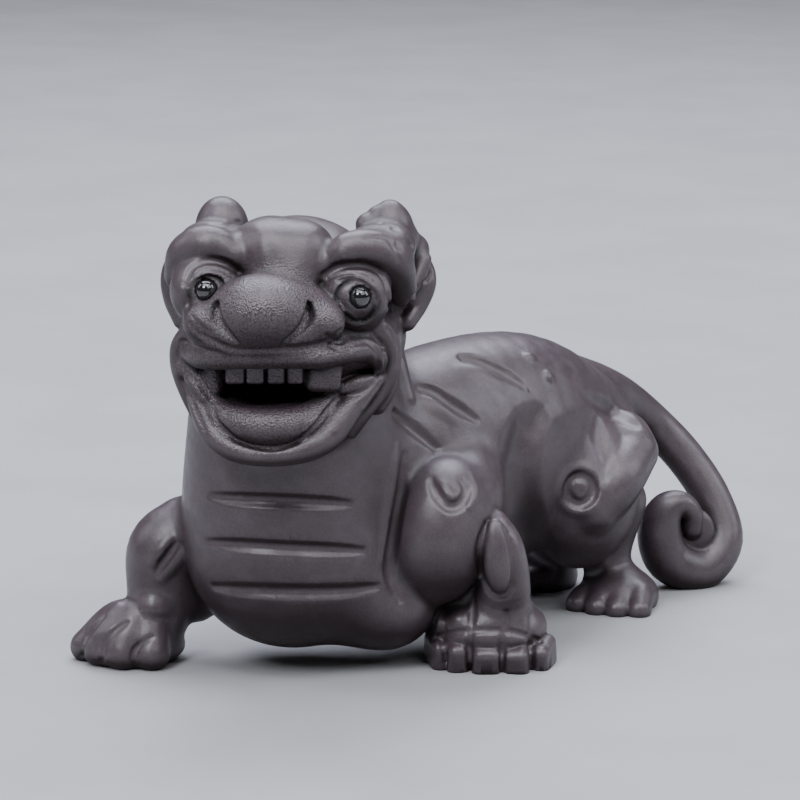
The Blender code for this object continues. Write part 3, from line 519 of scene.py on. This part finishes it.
def bead_centres():
    """Middles of the two eye beads, the beast's right and left."""
    centres = []
    for spot, gaze in zip((EYE_RIGHT, EYE_LEFT), GAZE):
        centre = at(*spot)
        outward = seen_on(centre, EYEBALL, *gaze) - centre
        centres.append(centre + outward * (EYEBALL - BEAD_DEPTH) / EYEBALL)
    return centres


def laid(courses, pieces=4):
    """Lines of (u, v, size) knots on the front drawing, laid on the clay."""
    lines = [smooth_line(course, pieces) for course in courses]
    every = np.vstack(lines)
    sights = np.array([at(u, v, 0.0) for u, v in every[:, :2]]) - EYE_POINT
    sights /= np.linalg.norm(sights, axis=1)[:, None]
    reach = np.full(len(every), 500.0)
    for _ in range(60):
        points = EYE_POINT + sights * reach[:, None]
        reach += np.clip(masses(points).depth * 0.8, -2.0, 6.0)
    placed = np.column_stack((EYE_POINT + sights * reach[:, None], every[:, 2]))
    return np.split(placed, np.cumsum([len(line) for line in lines])[:-1])


def settled(lines):
    """Lines moved to the nearest surface of the clay."""
    every = np.vstack(lines)
    points = every[:, :3].copy()
    step = 0.05
    for _ in range(8):
        here = masses(points).depth
        slope = np.stack([masses(points + step * axis).depth - here for axis in np.eye(3)], axis=1)
        slope /= np.maximum(np.linalg.norm(slope, axis=1), 1e-9)[:, None]
        points -= slope * np.clip(here, -1.5, 1.5)[:, None]
    placed = np.column_stack((points, every[:, 3]))
    return np.split(placed, np.cumsum([len(line) for line in lines])[:-1])


def ring(u, v, wide, tall, count=16):
    """Closed oval line on the front drawing."""
    angles = np.linspace(0.0, 2.0 * math.pi, count + 1)
    return [(u + wide * math.cos(a), v + tall * math.sin(a), 1.0) for a in angles]


CHEST_GROOVES = (
    ((210, 496, 0.2), (236, 499, 0.9), (280, 501, 1.0), (325, 503, 0.9), (350, 504, 0.3)),
    ((208, 542, 0.2), (236, 545, 0.9), (285, 548, 1.0), (335, 550, 0.9), (364, 551, 0.3)),
    ((214, 587, 0.3), (245, 590, 1.1), (290, 592, 1.25), (345, 591, 1.1), (378, 587, 0.3)),
)
SHOULDER_EDGE = (
    ((405, 455, 0.3), (401, 485, 0.9), (394, 525, 1.0), (389, 556, 1.0), (391, 582, 0.7),
     (400, 600, 0.3)),
)
CHEST_EDGE = (
    ((398, 446, 0.3), (392, 485, 1.0), (386, 528, 1.0), (382, 560, 0.4)),
)
SHOULDER_HOOK = (
    ((431, 481, 0.6), (437, 495, 1.0), (449, 507, 1.0), (461, 503, 1.0), (467, 491, 0.8),
     (462, 481, 0.5)),
)
HOOK_BANK = (
    ((472, 474, 0.4), (476, 490, 1.0), (470, 507, 0.8)),
    ((444, 484, 0.6), (449, 494, 1.0), (455, 497, 0.6)),
)
ARM_SLIT = (
    ((177, 543, 0.4), (170, 553, 1.0), (163, 563, 1.0), (157, 573, 0.4)),
)
SLIT_BANK = (
    ((182, 551, 0.4), (172, 567, 1.0), (162, 580, 0.4)),
    ((170, 538, 0.4), (160, 551, 1.0), (152, 563, 0.4)),
)
OVAL = (
    ((485, 524, 0.3), (479, 545, 1.0), (480, 570, 1.0), (489, 590, 1.0), (500, 596, 1.0),
     (510, 589, 1.0), (514, 568, 1.0), (511, 545, 1.0), (504, 527, 0.4)),
)
TOE_GROOVES = (
    ((474, 602, 0.4), (472, 616, 1.0), (471, 630, 0.8), (469, 648, 1.0), (470, 668, 0.6)),
    ((506, 612, 0.4), (505, 626, 0.9), (502, 646, 1.0), (503, 673, 0.6)),
    ((531, 614, 0.4), (531, 630, 0.9), (531, 650, 1.0), (532, 676, 0.6)),
    ((446, 606, 0.3), (443, 622, 0.8), (442, 640, 0.9), (446, 662, 0.5)),
    ((104, 616, 0.4), (93, 628, 1.0), (85, 640, 1.0), (82, 656, 0.5)),
    ((127, 622, 0.4), (115, 631, 1.0), (105, 643, 1.0), (102, 662, 0.6)),
    ((152, 637, 0.4), (140, 645, 0.8), (134, 653, 1.0), (133, 667, 0.6)),
)
PAW_CREASES = (
    ((432, 640, 0.4), (445, 635, 1.0), (470, 631, 1.0), (505, 631, 1.0), (530, 637, 0.8),
     (548, 646, 0.3)),
)
RIB_GROOVES = (
    ((464, 358, 0.8), (474, 360, 1.0), (490, 366, 1.0), (506, 374, 0.8), (522, 385, 0.3)),
    ((422, 388, 0.8), (434, 392, 1.0), (449, 402, 1.0), (463, 411, 0.8), (476, 420, 0.3)),
    ((396, 415, 0.9), (415, 430, 1.0), (436, 448, 0.4)),
)
RIB_BANKS = (
    ((462, 368, 0.4), (478, 372, 1.0), (497, 382, 0.4)),
    ((422, 400, 0.4), (437, 406, 1.0), (455, 419, 0.4)),
)
HAUNCH_VALLEY = (
    ((536, 420, 0.3), (524, 438, 0.8), (519, 468, 1.0), (521, 505, 1.0), (528, 542, 0.8),
     (536, 562, 0.4)),
)
HAUNCH_BANKS = (
    ((508, 408, 0.3), (511, 430, 1.0), (509, 460, 0.8), (509, 480, 0.3)),
    ((590, 405, 0.3), (562, 414, 0.8), (543, 432, 1.0), (537, 465, 0.9), (538, 500, 0.3)),
)
CALF_VALLEY = (
    ((597, 420, 0.4), (599, 432, 1.0), (602, 448, 1.0), (606, 463, 0.8), (603, 476, 0.3)),
)
TAIL_VALLEY = (
    ((585, 396, 0.3), (600, 405, 1.0), (618, 414, 1.0), (634, 424, 0.4)),
)
FACE_CREASES = (
    ((189, 323, 0.5), (196, 331, 1.0), (207, 338, 1.0), (226, 347, 1.0), (240, 350, 0.8),
     (262, 350, 1.0), (288, 349, 1.0), (312, 346, 1.0), (328, 341, 1.0), (341, 330, 0.5)),
    ((183, 341, 0.5), (192, 346, 1.0), (204, 350, 1.0), (220, 353, 0.5)),
)
BROW_DENTS = (
    ((245, 232, 0.5), (245, 243, 1.0), (249, 258, 0.8)),
    ((327, 236, 0.4), (324, 248, 1.0), (325, 262, 0.8)),
)
UNDER_BROWS = (
    ((324, 275, 0.6), (338, 267, 1.0), (352, 264.5, 1.0), (366, 265.5, 1.0), (379, 272, 1.0),
     (386, 282, 1.0), (388, 294, 0.9), (390, 308, 0.5)),
    ((184, 284, 0.7), (191, 268, 1.0), (204, 261.5, 1.0), (217, 261.5, 1.0), (229, 265.5, 1.0),
     (238, 272, 0.5)),
)
LID_LINES = (
    ((328, 279, 0.5), (340, 274, 1.0), (352, 273, 1.0), (364, 276, 1.0), (373, 283, 0.7)),
    ((338, 281, 0.4), (352, 278, 1.0), (364, 281, 1.0), (373, 289, 1.0), (377, 298, 1.0),
     (378, 310, 0.4)),
    ((188, 292, 0.5), (192, 280, 1.0), (199, 272, 1.0), (210, 268, 1.0), (222, 270, 1.0),
     (234, 278, 0.5)),
    ((184, 288, 0.5), (185, 298, 1.0), (188, 310, 0.5)),
)
LID_EDGES = (
    ((326, 294, 0.4), (338, 305, 1.0), (352, 315, 1.0), (362, 324, 0.4)),
    ((330, 282, 0.4), (341, 277, 1.0), (352, 275, 1.0), (363, 278, 1.0), (373, 286, 1.0),
     (379, 296, 0.5)),
)
CHIN_CREASES = (
    ((213, 408, 0.5), (218, 423, 1.0), (238, 440, 1.0), (259, 447, 1.0), (276, 448, 1.0),
     (293, 443, 1.0), (310, 431, 1.0), (323, 415, 1.0), (335, 400, 0.6)),
    ((343, 380, 0.5), (358, 373, 1.0), (377, 370, 0.8)),
    ((185, 373, 0.5), (202, 387, 1.0), (213, 402, 0.6)),
)
CHIN_RIDGES = (
    ((330, 401, 0.5), (316, 419, 1.0), (304, 431, 0.6)),
    ((381, 378, 0.4), (367, 394, 1.0), (355, 403, 0.5)),
    ((376, 390, 0.4), (362, 409, 0.8)),
)
CHEEK_CREASES = (
    ((348, 346, 0.4), (367, 342, 1.0), (378, 352, 1.0), (378, 367, 0.5)),
    ((372, 334, 0.5), (382, 346, 1.0), (386, 363, 1.0), (381, 376, 0.5)),
    ((388, 328, 0.6), (396, 338, 1.0), (400, 350, 1.0), (398, 364, 0.5)),
    ((181, 342, 0.5), (179, 366, 1.0), (186, 388, 1.0), (195, 410, 0.8), (204, 430, 0.5)),
    ((326, 335, 0.4), (334, 340, 1.0), (341, 343, 0.5)),
    ((329, 344, 0.4), (338, 349, 1.0), (352, 349, 0.5)),
    ((192, 317, 0.4), (199, 326, 1.0), (212, 335, 0.5)),
)
BROW_LINES = (
    ((366, 237, 0.4), (387, 239, 1.0), (394, 247, 1.0), (399, 260, 0.5)),
    ((203, 222, 0.4), (222, 225, 1.0), (240, 222, 0.4)),
    ((430, 273, 0.4), (421, 287, 1.0), (412, 300, 1.0), (402, 314, 0.5)),
)
HORN_PITS = (
    ((398, 245, 1.0), (399, 246, 1.0)),
    ((411, 244, 1.0), (412, 245, 1.0)),
    ((380, 222, 0.8), (381, 223, 0.8)),
    ((394, 228, 0.7), (395, 229, 0.7)),
)

# Marks as (lines, width, depth) in millimetres; those of the flank are put on both sides
FLANK_MARKS = (
    (RIB_GROOVES, 1.6, 1.4),
    (RIB_BANKS, 2.4, -0.4),
    (HAUNCH_VALLEY, 6.0, 2.6),
    (HAUNCH_BANKS, 3.4, -0.5),
    (CALF_VALLEY, 2.4, 0.7),
    ((ring(580, 490, 13.5, 14.5),), 1.4, 0.8),
    ((ring(580, 490, 19.5, 20.5),), 1.9, -0.35),
    ((((529, 357, 1), (530, 357, 1)), ((548, 376, 1), (549, 376, 1))), 1.5, -0.8),
)
FRONT_MARKS = (
    (CHEST_GROOVES, 1.4, 1.4),
    (SHOULDER_EDGE, 1.6, 1.2),
    (CHEST_EDGE, 1.7, -0.6),
    (SHOULDER_HOOK, 1.3, 1.2),
    (HOOK_BANK, 1.3, -0.4),
    (OVAL, 1.0, 0.8),
    (ARM_SLIT, 1.1, 1.3),
    (SLIT_BANK, 1.6, -0.5),
    (TOE_GROOVES, 0.9, 1.0),
    (PAW_CREASES, 0.8, 0.9),
    (TAIL_VALLEY, 2.4, 1.2),
    (FACE_CREASES, 0.9, 0.6),
    (BROW_DENTS, 3.2, 0.5),
    (UNDER_BROWS, 1.0, 1.2),
    (LID_LINES, 0.6, 0.6),
    (LID_EDGES, 0.5, -0.25),
    (CHIN_CREASES, 0.7, 0.9),
    (CHIN_RIDGES, 0.6, -0.35),
    (CHEEK_CREASES, 0.75, 0.7),
    (BROW_LINES, 0.9, 0.45),
    (HORN_PITS, 1.0, 0.6),
)


def all_strokes():
    """Every groove and ridge as (line, width, depth)."""
    strokes = []
    for marks in FRONT_MARKS, FLANK_MARKS:
        courses = [course for group, _, _ in marks for course in group]
        sizes = [(width, depth) for group, width, depth in marks for _ in group]
        lines = laid(courses)
        strokes += [(line, *size) for line, size in zip(lines, sizes)]
    far = [np.column_stack((across(line[:, :3]), line[:, 3])) for line in lines]
    return strokes + [(line, *size) for line, size in zip(settled(far), sizes)]


def sculptor():
    """Function that gives the signed distances of the finished clay."""
    strokes = all_strokes()

    def finished(points):
        clay = masses(points)
        for line, width, depth in strokes:
            clay.stroke(line, width, depth)
        for centre in bead_centres():
            clay.cut(ball(centre, BEAD_RADIUS + BEAD_GAP), 0.1)
        return np.maximum(clay.depth, -points[:, 2] - BELOW_GROUND)

    return finished


def grid_points(low, shape, step, index):
    """Positions of the grid nodes with the given flat indices."""
    i, j, k = np.unravel_index(index, shape)
    return np.stack((i, j, k), axis=1) * step + low


def surface_mesh(field, low, high, step):
    """Vertices and faces of the zero level of a signed distance field."""
    low = np.array(low, dtype=float)
    coarse_step = step * COARSE_RATIO
    coarse_shape = tuple(int(math.ceil(span / coarse_step)) + 1 for span in (np.array(high) - low))
    coarse = field(grid_points(low, coarse_shape, coarse_step, np.arange(np.prod(coarse_shape))))
    spread = coarse.reshape(coarse_shape)
    for axis in range(3):
        spread = np.repeat(spread, COARSE_RATIO, axis)
    shape = tuple((count - 1) * COARSE_RATIO + 1 for count in coarse_shape)
    shift = COARSE_RATIO // 2
    dense = spread[shift:shift + shape[0], shift:shift + shape[1], shift:shift + shape[2]].copy()
    flat = dense.ravel()
    close = np.flatnonzero(np.abs(flat) < coarse_step * NEAR_SURFACE)
    for start in range(0, len(close), BATCH):
        part = close[start:start + BATCH]
        flat[part] = field(grid_points(low, shape, step, part))
    grid = openvdb.FloatGrid()
    grid.copyFromArray(flat.reshape(shape).astype(np.float32))
    vertices, triangles, quads = grid.convertToPolygons(isovalue=0.0, adaptivity=0.0)
    return vertices * step + low, triangles, quads


def drop_specks(body):
    """Take away every loose shell but the largest."""
    waiting = set(body.verts)
    shells = []
    while waiting:
        front = [waiting.pop()]
        shell = []
        while front:
            vertex = front.pop()
            shell.append(vertex)
            near = {edge.other_vert(vertex) for edge in vertex.link_edges} & waiting
            waiting -= near
            front.extend(near)
        shells.append(shell)
    largest = max(shells, key=len)
    specks = [vertex for shell in shells if shell is not largest for vertex in shell]
    bmesh.ops.delete(body, geom=specks, context="VERTS")


def figure_frame():
    """Matrix from the drawing's frame in millimetres to the figure's own frame in metres."""
    shift = Matrix.Translation((-FOOTPRINT_MIDDLE[0], -FOOTPRINT_MIDDLE[1], 0.0))
    return Matrix.Scale(MM, 4) @ shift @ Matrix.Rotation(BACK_TURN, 4, "Z")


def hollowness(field, vertices, normals, reach):
    """0 on open, rounded clay and 1 in a hollow, from the distance a little way off the surface."""
    open_air = field(vertices + normals * reach) / reach
    return np.clip(1.0 - open_air, 0.0, 1.0)


def leatheriness(points):
    """1 on the nose, lips and chin, fading to 0 over the rest of the head."""
    far = np.linalg.norm((points - at(*MUZZLE)) / MUZZLE_REACH, axis=1)
    return np.clip((1.2 - far) / 0.25, 0.0, 1.0)


def clay_piece(name):
    """The clay with its fine relief and flat soles, in the figure's frame."""
    field = sculptor()
    vertices, triangles, quads = surface_mesh(field, FIELD_LOW, FIELD_HIGH, GRAIN)
    mesh = bpy.data.meshes.new(name)
    mesh.from_pydata(vertices.tolist(), [], quads.tolist() + triangles.tolist())
    piece = bpy.data.objects.new(name, mesh)
    bpy.context.scene.collection.objects.link(piece)
    thin = piece.modifiers.new("Thin", "DECIMATE")
    thin.ratio = TRIANGLES / (2 * len(quads) + len(triangles))
    thin.use_collapse_triangulate = True
    graph = bpy.context.evaluated_depsgraph_get()
    body = bmesh.new()
    body.from_mesh(piece.evaluated_get(graph).to_mesh())
    piece.modifiers.remove(thin)
    drop_specks(body)
    everything = body.verts[:] + body.edges[:] + body.faces[:]
    bmesh.ops.bisect_plane(body, geom=everything, dist=1e-4, plane_co=(0, 0, 0),
                           plane_no=(0, 0, 1), clear_inner=True)
    rims = [edge for edge in body.edges if edge.is_boundary]
    bmesh.ops.holes_fill(body, edges=rims, sides=0)
    bmesh.ops.triangulate(body, faces=[face for face in body.faces if len(face.verts) > 3])
    body.to_mesh(mesh)
    body.free()
    points = np.array([vertex.co for vertex in mesh.vertices])
    normals = np.array([normal.vector for normal in mesh.vertex_normals])
    # How deep in a crease and in a hollow each point lies; these paint shade into the clay's colour
    for attribute, reach in SHADE_REACHES:
        layer = mesh.attributes.new(attribute, "FLOAT", "POINT")
        shade = hollowness(field, points, normals, reach)
        layer.data.foreach_set("value", shade.astype(np.float32))
    skin = mesh.attributes.new("leather", "FLOAT", "POINT")
    skin.data.foreach_set("value", leatheriness(points).astype(np.float32))
    # Painted shade: how far each point faces down, used to darken the clay's colour and dim its
    # highlights underneath
    under = mesh.attributes.new("underside_shade", "FLOAT", "POINT")
    downward = np.clip(0.3 - 1.3 * normals[:, 2], 0.0, 1.0)
    under.data.foreach_set("value", downward.astype(np.float32))
    mesh.transform(figure_frame())
    mesh.shade_smooth()
    return piece


def bead_piece(name, centre):
    """Polished round eye bead."""
    mesh = bpy.data.meshes.new(name)
    body = bmesh.new()
    bmesh.ops.create_uvsphere(body, u_segments=48, v_segments=32, radius=BEAD_RADIUS * MM)
    bmesh.ops.translate(body, verts=body.verts, vec=figure_frame() @ Vector(centre))
    body.to_mesh(mesh)
    body.free()
    mesh.shade_smooth()
    piece = bpy.data.objects.new(name, mesh)
    bpy.context.scene.collection.objects.link(piece)
    return piece


def new_material(name):
    """Empty node material: its tree, its shader and its texture coordinates in millimetres."""
    made = bpy.data.materials.new(name)
    made.use_nodes = True
    nodes = made.node_tree.nodes
    place = nodes.new("ShaderNodeTexCoord")
    scale = nodes.new("ShaderNodeVectorMath")
    scale.operation = "SCALE"
    scale.inputs["Scale"].default_value = 1.0 / MM
    made.node_tree.links.new(place.outputs["Object"], scale.inputs[0])
    return made, nodes["Principled BSDF"], scale.outputs[0]


def noise(made, place, size, detail=3.0, roughness=0.55):
    """Fractal noise about 0.5 whose blobs are size millimetres across."""
    node = made.node_tree.nodes.new("ShaderNodeTexNoise")
    node.inputs["Scale"].default_value = 1.0 / size
    node.inputs["Detail"].default_value = detail
    node.inputs["Roughness"].default_value = roughness
    made.node_tree.links.new(place, node.inputs["Vector"])
    return node.outputs["Fac"]


def ramp(made, value, *stops):
    """Colour ramp over a value; each stop is (position, colour or grey level)."""
    node = made.node_tree.nodes.new("ShaderNodeValToRGB")
    made.node_tree.links.new(value, node.inputs["Fac"])
    elements = node.color_ramp.elements
    while len(elements) < len(stops):
        elements.new(0.5)
    for element, (position, colour) in zip(elements, stops):
        element.position = position
        element.color = (*(colour if hasattr(colour, "__len__") else (colour,) * 3), 1.0)
    return node.outputs["Color"]


def mixed(made, factor, first, second, blend="MIX"):
    """Two colours mixed; each may be a socket or a plain colour."""
    node = made.node_tree.nodes.new("ShaderNodeMix")
    node.data_type = "RGBA"
    node.blend_type = blend
    for slot, value in ((0, factor), (6, first), (7, second)):
        socket = node.inputs[slot]
        if isinstance(value, bpy.types.NodeSocket):
            made.node_tree.links.new(value, socket)
        else:
            socket.default_value = (*value, 1.0) if hasattr(value, "__len__") else value
    return node.outputs[2]


def surface_value(made, name):
    """A value stored on the mesh."""
    node = made.node_tree.nodes.new("ShaderNodeAttribute")
    node.attribute_name = name
    return node.outputs["Fac"]


def bump(made, height, distance, strength, base=None):
    """Bump whose full height is distance millimetres."""
    node = made.node_tree.nodes.new("ShaderNodeBump")
    node.inputs["Distance"].default_value = distance * MM
    node.inputs["Strength"].default_value = strength
    made.node_tree.links.new(height, node.inputs["Height"])
    if base:
        made.node_tree.links.new(base, node.inputs["Normal"])
    return node.outputs["Normal"]


def clay_material():
    """Unglazed purple-brown clay, rubbed in patches, with painted shade in creases, in hollows and
    on its undersides, leathery on the muzzle.
    """
    made, shader, place = new_material("Purple clay")
    links = made.node_tree.links
    crease = surface_value(made, "crease")
    hollow = surface_value(made, "hollow")
    leather = surface_value(made, "leather")
    underside_shade = surface_value(made, "underside_shade")
    body = ramp(made, noise(made, place, 9.0),
                (0.35, (0.066, 0.047, 0.055)), (0.65, (0.088, 0.064, 0.074)))
    speckle = ramp(made, noise(made, place, 0.35, 2.0), (0.40, 0.84), (0.60, 1.10))
    body = mixed(made, 1.0, body, speckle, "MULTIPLY")
    rubbed = ramp(made, noise(made, place, 3.0, 4.0), (0.45, 0.0), (0.75, 0.35))
    body = mixed(made, rubbed, body, (0.142, 0.112, 0.130))
    # Painted shade: the clay is darkened on faces that look down
    body = mixed(made, ramp(made, underside_shade, (0.0, 0.0), (1.0, 0.85)), body, (0.018, 0.013, 0.013))
    # Painted shade: the clay is darkened in hollows
    body = mixed(made, ramp(made, hollow, (0.35, 0.0), (0.95, 0.70)), body, (0.026, 0.018, 0.019))
    # Painted shade: the clay is darkened almost to black in creases
    body = mixed(made, ramp(made, crease, (0.08, 0.0), (0.50, 1.0)), body, (0.010, 0.007, 0.007))
    gloss = ramp(made, noise(made, place, 1.6, 4.0), (0.3, 0.33), (0.7, 0.46))
    dull = mixed(made, ramp(made, crease, (0.10, 0.0), (0.55, 1.0)), gloss, (0.70, 0.70, 0.70))
    links.new(dull, shader.inputs["Roughness"])
    links.new(ramp(made, underside_shade, (0.1, 0.9), (0.9, 0.12)), shader.inputs["Specular IOR Level"])
    grain = bump(made, noise(made, place, 0.25, 4.0), 0.04, 0.9)
    waves = bump(made, noise(made, place, 2.6, 3.0), 0.06, 0.5, grain)
    pebbles = made.node_tree.nodes.new("ShaderNodeTexVoronoi")
    pebbles.feature = "SMOOTH_F1"
    pebbles.inputs["Scale"].default_value = 1.0 / 0.30
    pebbles.inputs["Smoothness"].default_value = 0.6
    links.new(place, pebbles.inputs["Vector"])
    skin = mixed(made, leather, (0.5, 0.5, 0.5), pebbles.outputs["Distance"])
    pitted = ramp(made, skin, (0.20, 1.35), (0.50, 1.0), (0.80, 0.45))
    body = mixed(made, 1.0, body, pitted, "MULTIPLY")
    links.new(body, shader.inputs["Base Color"])
    links.new(bump(made, skin, 0.11, 1.0, waves), shader.inputs["Normal"])
    return made


def bead_material():
    """Polished black glass with faint handling haze."""
    made, shader, place = new_material("Black bead")
    links = made.node_tree.links
    tone = ramp(made, noise(made, place, 1.2),
                (0.4, (0.010, 0.010, 0.012)), (0.6, (0.016, 0.015, 0.017)))
    links.new(tone, shader.inputs["Base Color"])
    haze = ramp(made, noise(made, place, 0.5, 4.0), (0.4, 0.025), (0.7, 0.06))
    links.new(haze, shader.inputs["Roughness"])
    shader.inputs["IOR"].default_value = 1.9
    links.new(bump(made, noise(made, place, 0.4), 0.01, 0.2), shader.inputs["Normal"])
    return made


def floor_material():
    """Plain pale matt floor with a trace of grain."""
    made, shader, place = new_material("Pale floor")
    links = made.node_tree.links
    tone = ramp(made, noise(made, place, 40.0),
                (0.4, (0.44, 0.44, 0.45)), (0.6, (0.47, 0.47, 0.48)))
    links.new(tone, shader.inputs["Base Color"])
    shader.inputs["Roughness"].default_value = 0.7
    return made


def stage_floor():
    """Round floor under the figure."""
    mesh = bpy.data.meshes.new("floor")
    body = bmesh.new()
    bmesh.ops.create_circle(body, cap_ends=True, segments=96, radius=FLOOR_RADIUS)
    body.to_mesh(mesh)
    body.free()
    floor = bpy.data.objects.new("floor", mesh)
    bpy.context.scene.collection.objects.link(floor)
    mesh.materials.append(floor_material())


def photo_camera():
    """Camera at the point from which the front drawing is seen."""
    data = bpy.data.cameras.new("camera")
    data.sensor_width = SENSOR_WIDTH
    data.lens = data.sensor_width * SHEET_FOCUS / (2.0 * SHEET_CENTRE)
    data.clip_start = 0.01
    data.clip_end = 50.0
    camera = bpy.data.objects.new("camera", data)
    bpy.context.scene.collection.objects.link(camera)
    camera.location = figure_frame() @ Vector(EYE_POINT)
    camera.rotation_euler = Euler((math.pi / 2 - EYE_TILT, 0.0, BACK_TURN))
    bpy.context.scene.camera = camera


def softbox(name, azimuth, elevation, distance, size, power, colour):
    """Area light aimed at the figure; azimuth 0 is before the head, turning to the beast's left."""
    data = bpy.data.lights.new(name, "AREA")
    data.shape = "RECTANGLE"
    data.size, data.size_y = size
    data.energy = power
    data.color = colour
    light = bpy.data.objects.new(name, data)
    bpy.context.scene.collection.objects.link(light)
    a, e = math.radians(azimuth), math.radians(elevation)
    aim = Vector((0.0, 0.0, AIM_HEIGHT))
    back = Vector((math.sin(a) * math.cos(e), -math.cos(a) * math.cos(e), math.sin(e)))
    light.location = aim + back * distance
    light.rotation_euler = back.to_track_quat("Z", "Y").to_euler()


def light_studio():
    """Large soft lights and a dim pale surround."""
    softbox("back", 228, 60, 1.1, (1.1, 0.8), 17.0, (0.84, 0.87, 1.0))
    softbox("front", 30, 68, 1.1, (1.0, 0.5), 7.0, (0.88, 0.90, 1.0))
    softbox("lamp", 14, 42, 1.2, (0.34, 0.38), 6.0, (0.92, 0.93, 1.0))
    softbox("left", -50, 34, 1.2, (0.4, 0.6), 2.3, (0.90, 0.92, 1.0))
    softbox("right", 136, 30, 1.2, (0.5, 0.7), 4.0, (0.86, 0.89, 1.0))
    softbox("window", 86, 50, 1.2, (0.85, 0.85), 6.0, (0.96, 0.97, 1.0))
    world = bpy.data.worlds.new("surround")
    world.use_nodes = True
    world.node_tree.nodes["Background"].inputs["Color"].default_value = (0.80, 0.82, 0.85, 1.0)
    world.node_tree.nodes["Background"].inputs["Strength"].default_value = 0.05
    bpy.context.scene.world = world


clay = clay_piece("clay_pixiu")
clay.data.materials.append(clay_material())
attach(clay, "root")
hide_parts("pixiu_body")
glass = bead_material()
for name, centre in zip(("right_eye", "left_eye"), bead_centres()):
    bead = bead_piece("bead_" + name, centre)
    bead.data.materials.append(glass)
    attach(bead, "root")
    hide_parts(name)
stage_floor()
photo_camera()
light_studio()
